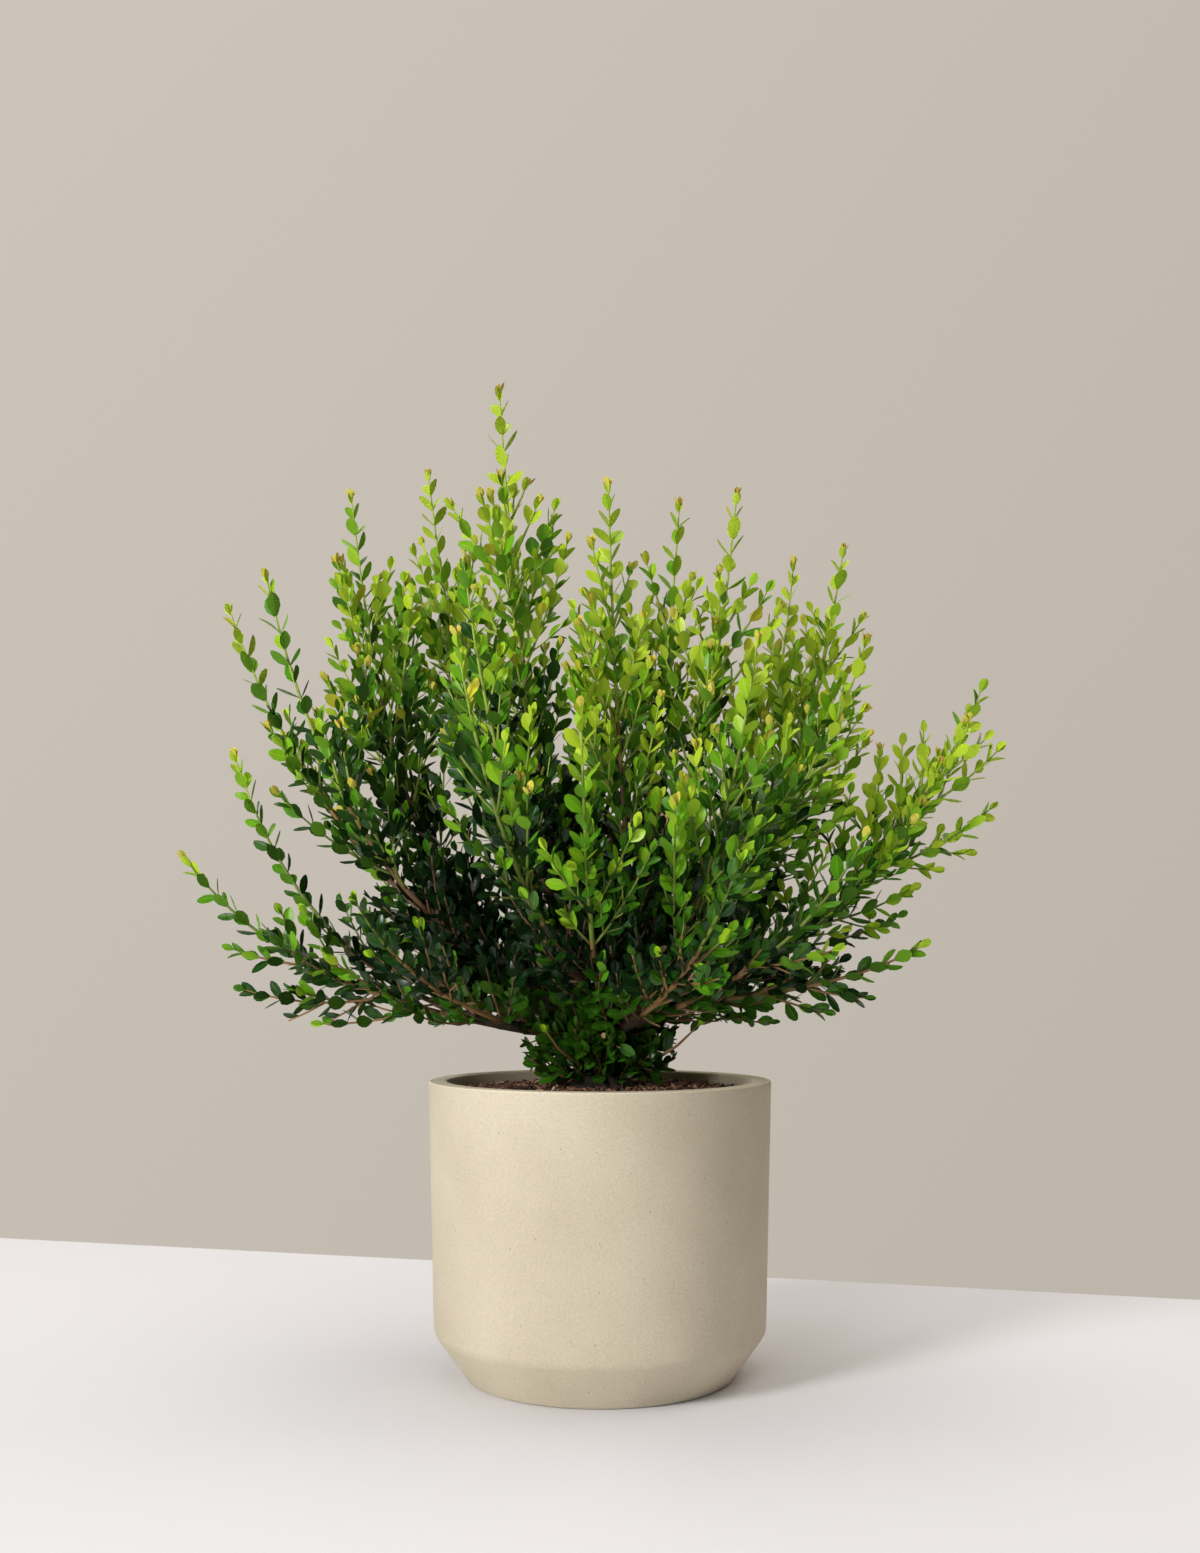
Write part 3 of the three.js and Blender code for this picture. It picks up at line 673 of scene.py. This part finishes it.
def leaf_tone(spray, at, back, draw):
    """A leaf is paler towards the tip of its shoot and, as painted light, high up, far out and to the
    right; deep inside and in the heart it is darker as painted shade. High up it is also paler for its
    young growth.
    """
    height = (at[2] - SOIL_TOP) / CROWN_HEIGHT
    out = hypot(at[0] / CROWN_REACH, at[1] / CROWN_DEPTH, height)
    youth = exp(-back / TIP_PAIRS)
    # Painted light from above, and painted light and shade by depth in the crown
    score = HEIGHT_AGE_AND_PAINTED_LIGHT * height * chosen(HEIGHT_BY_OUT, out) + DEPTH_PAINTED_LIGHT_AND_SHADE * (out - MIDDLE_OUT)
    score += youth * chosen(TIP_TONE, height)
    by_limb = LIMB_TONES.get(spray.limb.name, 0)
    # Painted light on the right side and painted shade in the heart
    score += RIGHT_PAINTED_LIGHT * at[0] / CROWN_REACH + by_limb - HEART_PAINTED_SHADE * spray.inner
    by_shoot = SHOOT_TONE * spray.tint * (SHOOT_BY_TIP + youth) * chosen(SHOOT_BY_HEIGHT, height)
    score += by_shoot + CHANCE_TONE * draw.normal()
    chance = draw.random()
    if spray.inner and chance < DEAD_CHANCE:
        return DEAD
    if height > YELLOW_PART and back < YELLOW_PAIRS and chance < YELLOW_CHANCE:
        return YELLOW
    # The darkest tone allowed: painted light high up and far out, a limit to the painted shade low down
    least = LEAST_INNER if spray.inner else LEAST_LOW
    if height > LOW_PART:
        least = max(0, chosen(PAINTED_LIGHT_FLOOR_BY_HEIGHT, height), chosen(PAINTED_LIGHT_FLOOR_BY_OUT, out))
    return int(np.clip(score * TONES_PER_SCORE, least, PALEST_TONE))


def ring_faces(rings, sides):
    """Faces over a stack of rings of points, closed by one more point at each end."""
    faces = []
    for r in range(rings - 1):
        for c in range(sides):
            n = (c + 1) % sides
            a, b, d, e = r * sides + c, r * sides + n, (r + 1) * sides + n, (r + 1) * sides + c
            faces += [(a, b, d), (a, d, e)]
    first, top = rings * sides, (rings - 1) * sides
    for c in range(sides):
        n = (c + 1) % sides
        faces += [(n, c, first), (top + c, top + n, first + 1)]
    return np.array(faces)


def tube(path, radii, sides, across, relief=None):
    """A closed tube along a list of points, with a pointed cap at each end."""
    along = np.gradient(path, axis=0)
    along /= np.linalg.norm(along, axis=1)[:, None]
    side = across - along * (along @ across)[:, None]
    side /= np.linalg.norm(side, axis=1)[:, None]
    other = np.cross(along, side)
    angles = np.arange(sides) * 2 * pi / sides
    reach = np.repeat(radii[:, None], sides, axis=1)
    if relief is not None:
        reach = reach + relief(path, angles, radii)
    ring = side[:, None] * np.cos(angles)[None, :, None] + other[:, None] * np.sin(angles)[None, :, None]
    points = path[:, None] + ring * reach[..., None]
    vertices = np.concatenate([points.reshape(-1, 3), path[:1], path[-1:]])
    return vertices, ring_faces(len(path), sides)


def joined(name, shapes, materials, smooth=True):
    """One object from closed shapes, each given as its vertices, faces and material slot."""
    points, faces, slots = zip(*shapes)
    starts = np.cumsum([0] + [len(rows) for rows in points])
    slots = np.concatenate([np.broadcast_to(slot, len(rows)) for slot, rows in zip(slots, faces)])
    faces = np.concatenate([rows + start for rows, start in zip(faces, starts)])
    return mesh_object(name, np.concatenate(points), faces, materials, slots, smooth)


# Materials


def principled(name, colour, roughness, gloss=0.5):
    material = bpy.data.materials.new(name)
    material.use_nodes = True
    shader = material.node_tree.nodes["Principled BSDF"]
    shader.inputs["Base Color"].default_value = (*colour, 1)
    shader.inputs["Roughness"].default_value = roughness
    shader.inputs["Specular IOR Level"].default_value = gloss
    return material, shader


def add_node(material, kind, **values):
    node = material.node_tree.nodes.new(kind)
    for name, value in values.items():
        if name in node.inputs:
            node.inputs[name].default_value = value
        else:
            setattr(node, name, value)
    return node


def link(source, target):
    source.id_data.links.new(source, target)


def placed(material, kind, **values):
    """A node whose first input is the place on the object."""
    node = add_node(material, kind, **values)
    link(add_node(material, "ShaderNodeTexCoord").outputs["Object"], node.inputs[0])
    return node


def object_noise(material, scale, detail, roughness=0.55):
    return placed(material, "ShaderNodeTexNoise", Scale=scale, Detail=detail, Roughness=roughness)


def ramp(material, source, stops):
    node = add_node(material, "ShaderNodeValToRGB")
    elements = node.color_ramp.elements
    while len(elements) < len(stops):
        elements.new(0.5)
    for element, (position, colour) in zip(elements, stops):
        element.position = position
        element.color = (*colour, 1)
    link(source, node.inputs["Fac"])
    return node.outputs["Color"]


def bump(material, shader, height, strength, distance):
    node = add_node(material, "ShaderNodeBump", Strength=strength, Distance=distance)
    link(height, node.inputs["Height"])
    link(node.outputs["Normal"], shader.inputs["Normal"])


GLOSSY_TONES = 3  # the darkest leaves are the glossiest
GLOSSY, DULL, UNDERSIDE = (0.25, 0.3), (0.3, 0.16), (0.7, 0.1)  # roughness and gloss
UNDER_COLOUR, MOST_UNDER = (0.22, 0.31, 0.05), 0.2  # what pales a lower side, and its greatest share


def leaf_materials():
    """Two materials for each tone: the glossy upper side and the paler, duller lower side."""
    materials = []
    for i, colour in enumerate(LEAF_TONES):
        share = min(MOST_UNDER, colour[1])
        pale = tuple((1 - share) * value + share * other for value, other in zip(colour, UNDER_COLOUR))
        upper = GLOSSY if i < GLOSSY_TONES else DULL
        for side, tint, (roughness, gloss) in (("upper", colour, upper), ("under", pale, UNDERSIDE)):
            materials.append(principled(f"leaf_{side}_{i}", tint, roughness, gloss)[0])
    return materials


STONE_DARK, STONE_LIGHT = (0.585, 0.515, 0.38), (0.665, 0.592, 0.45)
STONE_GRAIN = [(0.3, (0.8, 0.79, 0.77)), (0.5, (0.97, 0.97, 0.97)), (0.7, (1.07, 1.07, 1.08))]
STONE_PITS = [(0.035, (0.45, 0.42, 0.38)), (0.06, (1, 1, 1))]


def stoneware(name, brightness):
    """Matt, mottled stoneware with fine grain and scattered pits, its tones scaled by brightness, which
    paints light on them above 1.
    """
    material, shader = principled(name, (0.64, 0.56, 0.41), 0.82)
    grain = object_noise(material, 900, 4, 0.7)
    cloud = object_noise(material, 9, 3)
    # A brightness over 1 is painted light
    dark, light = (tuple(brightness * value for value in tone) for tone in (STONE_DARK, STONE_LIGHT))
    base = ramp(material, cloud.outputs["Fac"], [(0.35, dark), (0.65, light)])
    speck = ramp(material, grain.outputs["Fac"], STONE_GRAIN)
    cells = placed(material, "ShaderNodeTexVoronoi", Scale=95)
    pits = ramp(material, cells.outputs["Distance"], STONE_PITS)
    mottled = multiply(material, multiply(material, base, speck), pits)
    link(mottled, shader.inputs["Base Color"])
    bump(material, shader, grain.outputs["Fac"], 0.25, 0.0006)
    return material


def multiply(material, first, second):
    node = add_node(material, "ShaderNodeMix", data_type="RGBA", blend_type="MULTIPLY")
    node.inputs["Factor"].default_value = 1
    link(first, node.inputs[6])
    link(second, node.inputs[7])
    return node.outputs[2]


BARK_TONES = [(0.3, (0.02, 0.012, 0.006)), (0.5, (0.07, 0.042, 0.018)), (0.74, (0.19, 0.12, 0.05))]
BARK_FOOT_PAINTED_SHADE = {"From Min": 0.235, "From Max": 0.3}  # painted shade: metres up over which the darkened foot of the trunk fades to its own bark


def bark():
    """Rough brown bark, with painted shade that darkens the trunk's foot."""
    material, shader = principled("bark", (0.12, 0.075, 0.04), 0.85)
    grain = object_noise(material, 260, 5, 0.65)
    split = placed(material, "ShaderNodeSeparateXYZ")
    rise = add_node(material, "ShaderNodeMapRange", **BARK_FOOT_PAINTED_SHADE)
    link(split.outputs["Z"], rise.inputs["Value"])
    # Painted shade: the trunk's foot under the crown is darkened
    foot = ramp(material, rise.outputs["Result"], [(0, (0.22, 0.24, 0.2)), (1, (1, 1, 1))])
    tinted = multiply(material, ramp(material, grain.outputs["Fac"], BARK_TONES), foot)
    link(tinted, shader.inputs["Base Color"])
    bump(material, shader, grain.outputs["Fac"], 0.7, 0.0012)
    return material


# The planter


def pot_profile():
    """Radius and height of the planter's wall, from its underside's centre round to its floor's."""
    corners = [
        (0, 0, 0), (FOOT_RADIUS, 0, 2.5), (SHOULDER_RADIUS, CHAMFER_HEIGHT, 4),
        (RIM_RADIUS, POT_HEIGHT, 1.8), (RIM_RADIUS - POT_WALL, POT_HEIGHT, 1.8),
        (SHOULDER_RADIUS - POT_WALL, CHAMFER_HEIGHT + POT_WALL / 2, 4),
        (FOOT_RADIUS - POT_WALL, POT_FLOOR, 4), (0, POT_FLOOR, 0),
    ]
    points = []
    for i, (x, y, rounding) in enumerate(corners):
        corner = np.array([x, y], float)
        if not rounding:
            points.append(corner)
            continue
        before = corner + unit(np.array(corners[i - 1][:2]) - corner) * rounding
        after = corner + unit(np.array(corners[i + 1][:2]) - corner) * rounding
        for t in np.linspace(0, 1, CORNER_POINTS):
            points.append((1 - t) ** 2 * before + 2 * (1 - t) * t * corner + t**2 * after)
    return divided(points, LONGEST_STEP)


def divided(points, longest):
    """The same outline with no step longer than the given length."""
    result = [points[0]]
    for a, b in zip(points, points[1:]):
        count = max(1, ceil(np.linalg.norm(b - a) / longest))
        result += [a + (b - a) * (i + 1) / count for i in range(count)]
    return result


def turned(profile, sides):
    """A closed surface from an outline that starts and ends on the Z axis."""
    angles = np.arange(sides) * 2 * pi / sides
    inner = profile[1:-1]
    rings = [[(r * cos(a), r * sin(a), z) for a in angles] for r, z in inner]
    vertices = np.array(rings).reshape(-1, 3)
    ends = np.array([(0, 0, profile[0][1]), (0, 0, profile[-1][1])])
    return np.concatenate([vertices, ends]), ring_faces(len(inner), sides)


def make_pot():
    """The planter, whose rim top and inside are painted paler than its outer side, as painted light where
    the crown shades them.
    """
    vertices, faces = turned(pot_profile(), POT_SIDES)
    x, y, z = vertices[faces].mean(axis=1).T
    # Faces of the rim's top and the inside, which get the paler stoneware as painted light
    inside = (np.hypot(x, y) < inner_radius(z) + 2) & (z > POT_FLOOR) | (z > POT_HEIGHT - RIM_BAND)
    materials = [stoneware("stoneware", 1), stoneware("stoneware_inside_painted_light", INSIDE_PAINTED_LIGHT)]
    dress(mesh_object("planter", vertices, faces, materials, inside.astype(int)), "pot", "pot")


def soil_height(radius):
    share = np.clip((inner_radius(SOIL_EDGE) - radius) / (inner_radius(SOIL_EDGE) - SOIL_FLAT_RADIUS), 0, 1)
    return SOIL_EDGE + (SOIL_TOP - SOIL_EDGE) * np.sin(share * pi / 2)


def inner_radius(height):
    low = CHAMFER_HEIGHT + POT_WALL / 2
    return SHOULDER_RADIUS - POT_WALL + (RIM_RADIUS - SHOULDER_RADIUS) * (height - low) / (POT_HEIGHT - low)


# Tones of the mulch and its chips, painted paler as painted light where the crown shades the soil
SOIL_TONES_WITH_PAINTED_LIGHT = [
    (0.055, 0.025, 0.014), (0.13, 0.06, 0.034), (0.26, 0.125, 0.07), (0.45, 0.26, 0.15), (0.65, 0.5, 0.36),
]
SOIL_SHARES = [0.3, 0.33, 0.24, 0.11, 0.02]  # of the chips that have each tone
SOIL_ROUGHNESS = 0.9
SOIL_RINGS, SOIL_SIDES, SOIL_GAP = 34, 120, 0.4
SOIL_LUMPS = ((1.6, 9, 0), (0.8, 3, 4))  # height, width and place in the noise
CHIP_COUNT = 1700
CHIP_OUTLINE = [(-1, -0.6), (-0.2, -1), (0.9, -0.7), (1, 0.4), (0.1, 1), (-0.9, 0.7)]
CHIP_LENGTHS, CHIP_WIDTHS, CHIP_DEPTHS, CHIP_WEAR = (2.2, 6.5), (1.2, 3), (0.5, 1.3), (0.7, 1.2)
CHIP_RISES = (-0.6, 1.6)
CHIP_TILT = 0.35
CHIP_GAP = 0.6  # to the planter's wall


def make_soil():
    """A lumpy bed of mulch, strewn with bark chips."""
    draw = np.random.default_rng(SOIL_SEED)
    edge = inner_radius(SOIL_EDGE) - SOIL_GAP
    profile = [(0, POT_FLOOR + SOIL_GAP), (FOOT_RADIUS - POT_WALL - 5, POT_FLOOR + SOIL_GAP)]
    profile += [(SHOULDER_RADIUS - POT_WALL - 2, CHAMFER_HEIGHT + POT_WALL), (edge, SOIL_EDGE - 1)]
    profile += [(r, soil_height(r) - 1) for r in np.linspace(edge, 0, SOIL_RINGS + 1)[1:]]
    vertices, faces = turned([np.array(p, float) for p in profile], SOIL_SIDES)
    for i in np.flatnonzero(vertices[:, 2] > SOIL_EDGE - 1.01):
        x, y, _ = vertices[i]
        for high, wide, place in SOIL_LUMPS:
            vertices[i, 2] += high * noise.noise(Vector((x / wide, y / wide, place)))
    shapes = [(vertices, faces, 0)]
    for _ in range(CHIP_COUNT):
        radius, angle = edge * sqrt(draw.random()) - 2, draw.uniform(0, 2 * pi)
        if radius < TRUNK_RADIUS:
            continue
        height = soil_height(radius) + draw.uniform(*CHIP_RISES)
        add_chip(shapes, np.array([radius * cos(angle), radius * sin(angle), height]), draw)
    # Mulch and chip materials, paler as painted light
    tones = [principled(f"mulch_{i}", tone, SOIL_ROUGHNESS)[0] for i, tone in enumerate(SOIL_TONES_WITH_PAINTED_LIGHT)]
    dress(joined("mulch", shapes, tones, smooth=False), "soil", "soil")


def add_chip(shapes, at, draw):
    """A flat shard of bark with six sides and broken ends."""
    long, wide, thick = (draw.uniform(*span) for span in (CHIP_LENGTHS, CHIP_WIDTHS, CHIP_DEPTHS))
    flat = np.array(CHIP_OUTLINE) * draw.uniform(*CHIP_WEAR, (6, 2))
    local = [(x * long / 2, y * wide / 2, z * thick / 2) for z in (-1, 1) for x, y in flat]
    spin = draw.uniform(0, 2 * pi)
    turn = Euler((draw.normal(0, CHIP_TILT), draw.normal(0, CHIP_TILT), spin)).to_matrix()
    vertices = np.array(local) @ np.array(turn).T + at
    faces = [(0, i + 1, i) for i in range(1, 5)] + [(6, 6 + i, 7 + i) for i in range(1, 5)]
    for i in range(6):
        n = (i + 1) % 6
        faces += [(i, n, 6 + n), (i, 6 + n, 6 + i)]
    reach = np.hypot(vertices[:, 0], vertices[:, 1]).max()
    if reach < inner_radius(SOIL_EDGE) - CHIP_GAP:
        shapes.append((vertices, np.array(faces), draw.choice(len(SOIL_TONES_WITH_PAINTED_LIGHT), p=SOIL_SHARES)))


# Trunk, boughs and twigs


RIDGES = ((0.16, 3.2, 11), (0.06, 1, 3))  # height over the limb's radius, width and length
BARK_STEP = 3


def bark_relief(path, angles, radii):
    """Ridges that run along a limb, deeper on a thick one."""
    relief = np.zeros((len(path), len(angles)))
    for r, (point, radius) in enumerate(zip(path, radii)):
        for c, angle in enumerate(angles):
            x, y, z = cos(angle) * radius, sin(angle) * radius, point[2]
            for high, wide, long in RIDGES:
                relief[r, c] += radius * high * noise.noise(Vector((x / wide, y / wide, z / long)))
    return relief


def make_bark(limbs):
    """The trunk with its root flare, and the bare boughs, with the bark's relief."""
    heights = np.linspace(0, TRUNK_HEIGHT, TRUNK_RINGS)
    path = np.array([trunk_point(h) for h in heights])
    knees = [0, TRUNK_HEIGHT - TRUNK_ROUNDING, TRUNK_HEIGHT]
    radii = np.interp(heights, knees, [TRUNK_RADIUS, TRUNK_NECK_RADIUS, TRUNK_END_RADIUS])

    def trunk_relief(path, angles, radii):
        roots = 1 + ROOT_DEPTH * np.sin(ROOT_COUNT * angles)
        flare = ROOT_FLARE * np.exp(-heights / FLARE_FADE)[:, None] * roots[None]
        return flare + bark_relief(path, angles, radii)

    shapes = [(*tube(path, radii, TRUNK_SIDES, np.array([1, 0, 0]), trunk_relief), 0)]
    for limb in limbs:
        if limb.short:
            continue
        steps = max(PATH_STEPS, int(limb.length * limb.bough_share / BARK_STEP))
        path = limb.points(0, limb.bough_share + BOUGH_OVERRUN, steps)
        radii = np.linspace(limb.bough_radius, BOUGH_END_RADIUS, steps + 1)
        shapes.append((*tube(path, radii, BOUGH_SIDES, limb.level, bark_relief), 0))
    boughs = [f"bough_{limb.name}" for limb in limbs if not limb.short]
    dress(joined("bark", shapes, [bark()]), "bark", "trunk", *boughs)


TWIG_TONES = {
    "brown": (0.17, 0.088, 0.04), "tan": (0.27, 0.155, 0.055),
    "olive": (0.16, 0.225, 0.028), "green": (0.33, 0.44, 0.06),
}
TWIG_ROUGHNESS = 0.6
TWIG_END_RADIUS, TWIG_TAPER = 0.5, 0.8
STEM_SIDES, SHOOT_SIDES = 8, 5
BROWN_LEFT = 230  # mm from its tip where a stem turns from brown to tan
GREEN_LEFT = 180  # and from tan to green
OLIVE_BELOW = 430  # height under which green shoots are darker
TAN_BELOW = 310  # and under which no shoot is green


def make_twigs(sprays):
    """Stems and shoots, brown far back from their tips and in the crown's heart, tan nearer the tips and
    low down, and green at their tips, a darker green in the lower crown.
    """
    shapes = []
    for spray in sprays:
        path = [node[0] for node in spray.nodes]
        if spray.order == 0:
            path = [spray.limb.point(spray.limb.bough_share), *path]
        if spray.stalk is not None:
            path.append(spray.stalk)
        path = thickened(np.array(path))
        left = np.linalg.norm(path - path[-1], axis=1)
        radii = TWIG_END_RADIUS + (spray.radius - TWIG_END_RADIUS) * (left / left[0]) ** TWIG_TAPER
        sides = STEM_SIDES if spray.order == 0 else SHOOT_SIDES
        vertices, faces = tube(path, radii, sides, spray.nodes[0][2])
        ring = np.minimum(faces.min(axis=1) // sides, len(path) - 1)
        height = path[ring, 2]
        # Brown far back from the tip, and on every shoot in the crown's heart
        old = (left[ring] > BROWN_LEFT) | spray.inner
        ageing = (left[ring] > GREEN_LEFT) | (height < TAN_BELOW)
        slots = np.select([old, ageing, height < OLIVE_BELOW], [0, 1, 2], 3)
        shapes.append((vertices, faces, slots))
    tones = [principled(f"twig_{name}", tone, TWIG_ROUGHNESS)[0] for name, tone in TWIG_TONES.items()]
    return joined("twigs", shapes, tones)


def thickened(path):
    """The same path with one more point in the middle of each step."""
    result = np.empty((len(path) * 2 - 1, 3))
    result[0::2] = path
    result[1::2] = (path[:-1] + path[1:]) / 2
    return result


def dress(piece, slot, *nodes):
    """Fixes a piece to the plant's one body, in the place of the given nodes."""
    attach(piece, "root")
    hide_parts(*nodes)


# Regions of the crown, each one joined piece of leaves
REGIONS = {
    "left": ("low_left", "left_wand", "front_left_low", "left_spray"),
    "upper_left": ("left_tall", "upper_left", "back_left_tall"),
    "top": ("top_wand", "inner_left", "centre", "heart_left"),
    "upper_right": ("right_centre", "centre_right", "right_wand"),
    "front": ("front_mid", "front_left_mid", "front_right_low", "front_right_mid", "lower_right"),
    "heart": ("heart_front", "base_left", "base_right", "heart_right"),
    "right": ("far_right", "low_right", "right_mid"),
    "back": ("back_right_low", "back_right_tall", "back_mid", "back_low", "back_left_low"),
}


def make_foliage(limbs):
    """The leaves, region by region, and the twigs that carry them."""
    space = Space(limbs)
    sprays = []
    materials = leaf_materials()
    by_name = {limb.name: limb for limb in limbs}
    for region, names in REGIONS.items():
        leaves = []
        for name in names:
            limb = by_name[name]
            own = side_shoots(space, limb) + ([] if limb.short else inner_shoots(space, limb))
            if name == "heart_front":
                own += trunk_shoots(space, limb)
            for spray in own:
                add_leaves(space, spray, leaves)
            sprays += own
        vertices, faces, slots, rims = leaf_mesh(leaves)
        piece = mesh_object(f"leaves_{region}", vertices, faces, materials, slots, creased=rims)
        dress(piece, "foliage", *[f"foliage_{name}" for name in names])
    dress(make_twigs(sprays), "foliage", *[f"foliage_{limb.name}" for limb in limbs])


# Stage, light and camera

CAMERA_PLACE = (0, -1200, 298.1)  # in millimetres
CAMERA_PITCH = 7.12  # degrees up
FOCAL_PIXELS = 1547
IMAGE_HEIGHT = 1553
SENSOR = 36
TABLE_EDGE = ((-672, 583.3), (545.8, 255.4))  # two points of the table's back edge
TABLE_REACH = 4000
TABLE_DEPTH = 30
TABLE_ROUGHNESS = 0.7
# The wall's glow at its bright and its dim end, standing in for a lit beige wall
WALL_GLOW_BRIGHT = (0.604, 0.552, 0.485)
WALL_GLOW_DIM = (0.515, 0.468, 0.407)
WALL_RADIUS = 3500
WALL_HEIGHTS = (-1500, 4500)
WALL_STEPS = 40
WALL_ARC = (30, 150)  # azimuths that the wall spans behind the plant
WALL_PAINTED_FALLOFF = (-0.19, 0, 0.131)  # painted light falloff: how the wall's glow brightens for each metre to the right, back and up
WALL_LEVEL = 0.304  # and how bright it is at the origin, from 0, dim, to 1, bright
AMBIENT = (0.03, 0.03, 0.03)
TABLE_COLOUR = (0.85, 0.853, 0.9)
# Round lamps: place and the point they face in metres, width, watts, colour
LAMPS = {
    "key": ((-3.05, -2.9, 2), (0, 0, 0.3), 1.2, 138, (1, 0.99, 0.985)),
    "low_front": ((-1.5, -3.2, 0.72), (0, 0, 0.22), 0.5, 20, (1, 0.98, 0.96)),
    "top_back": ((-0.6, 0.9, 5.2), (0, 0, 0.3), 3, 80, (1, 0.95, 0.9)),
    "top_front": ((0.4, -1.8, 5), (0, 0, 0.3), 4.5, 72, (1, 0.95, 0.9)),
    "right_back": ((3, 1.2, 4), (0, 0, 0.2), 3.5, 52, (1, 0.88, 0.73)),
}


def make_camera():
    data = bpy.data.cameras.new("camera")
    data.sensor_width = SENSOR
    data.lens = FOCAL_PIXELS / IMAGE_HEIGHT * SENSOR
    data.clip_end = 50
    camera = new_object("camera", data)
    camera.location = [value * MM for value in CAMERA_PLACE]
    camera.rotation_euler = (radians(90 + CAMERA_PITCH), 0, 0)
    bpy.context.scene.camera = camera


def make_table():
    """A pale table top whose back edge runs at a slant."""
    (x0, y0), (x1, y1) = TABLE_EDGE
    slope = (y1 - y0) / (x1 - x0)
    far = TABLE_REACH
    corners = [(-far, -far), (far, -far), (far, y0 + slope * (far - x0)), (-far, y0 + slope * (-far - x0))]
    vertices = [(x, y, z) for z in (0, -TABLE_DEPTH) for x, y in corners]
    faces = [(0, 1, 2), (0, 2, 3), (4, 6, 5), (4, 7, 6)]
    for i in range(4):
        n = (i + 1) % 4
        faces += [(i, 4 + i, 4 + n), (i, 4 + n, n)]
    material = principled("table", TABLE_COLOUR, TABLE_ROUGHNESS)[0]
    mesh_object("table", np.array(vertices), np.array(faces), [material], smooth=False)


def make_wall():
    """A beige wall behind the plant that glows rather than being lit, dimmer to its lower right as painted
    light falloff; its glow also lights the plant.
    """
    arc = np.radians(np.linspace(*WALL_ARC, WALL_STEPS + 1))
    vertices = [(WALL_RADIUS * cos(a), WALL_RADIUS * sin(a), z) for z in WALL_HEIGHTS for a in arc]
    faces = []
    for i in range(WALL_STEPS):
        over = i + WALL_STEPS + 1
        faces += [(i, i + 1, over + 1), (i, over + 1, over)]
    material = bpy.data.materials.new("wall")
    material.use_nodes = True
    nodes = material.node_tree.nodes
    nodes.remove(nodes["Principled BSDF"])
    # An emitted glow in place of lit paint, graded as painted light falloff
    glow = add_node(material, "ShaderNodeEmission")
    slope = placed(material, "ShaderNodeVectorMath", operation="DOT_PRODUCT")
    slope.inputs[1].default_value = WALL_PAINTED_FALLOFF
    level = add_node(material, "ShaderNodeMath", operation="ADD")
    level.inputs[1].default_value = WALL_LEVEL
    link(slope.outputs["Value"], level.inputs[0])
    colour = ramp(material, level.outputs["Value"], [(0, WALL_GLOW_DIM), (1, WALL_GLOW_BRIGHT)])
    link(colour, glow.inputs["Color"])
    link(glow.outputs["Emission"], nodes["Material Output"].inputs["Surface"])
    mesh_object("wall", np.array(vertices), np.array(faces), [material])


def make_light(name, place, aim, size, power, colour):
    data = bpy.data.lights.new(name, "AREA")
    data.shape = "DISK"
    data.size = size
    data.energy = power
    data.color = colour
    light = new_object(name, data)
    light.location = place
    light.rotation_euler = (Vector(aim) - Vector(place)).to_track_quat("-Z", "Y").to_euler()


def make_world():
    world = bpy.data.worlds.new("studio")
    world.use_nodes = True
    world.node_tree.nodes["Background"].inputs["Color"].default_value = (*AMBIENT, 1)
    bpy.context.scene.world = world


make_camera()
make_world()
make_table()
make_wall()
for lamp_name, lamp in LAMPS.items():
    make_light(lamp_name, *lamp)
bpy.context.scene.view_settings.view_transform = "Standard"

all_limbs = grow_limbs()
make_pot()
make_soil()
make_bark(all_limbs)
make_foliage(all_limbs)
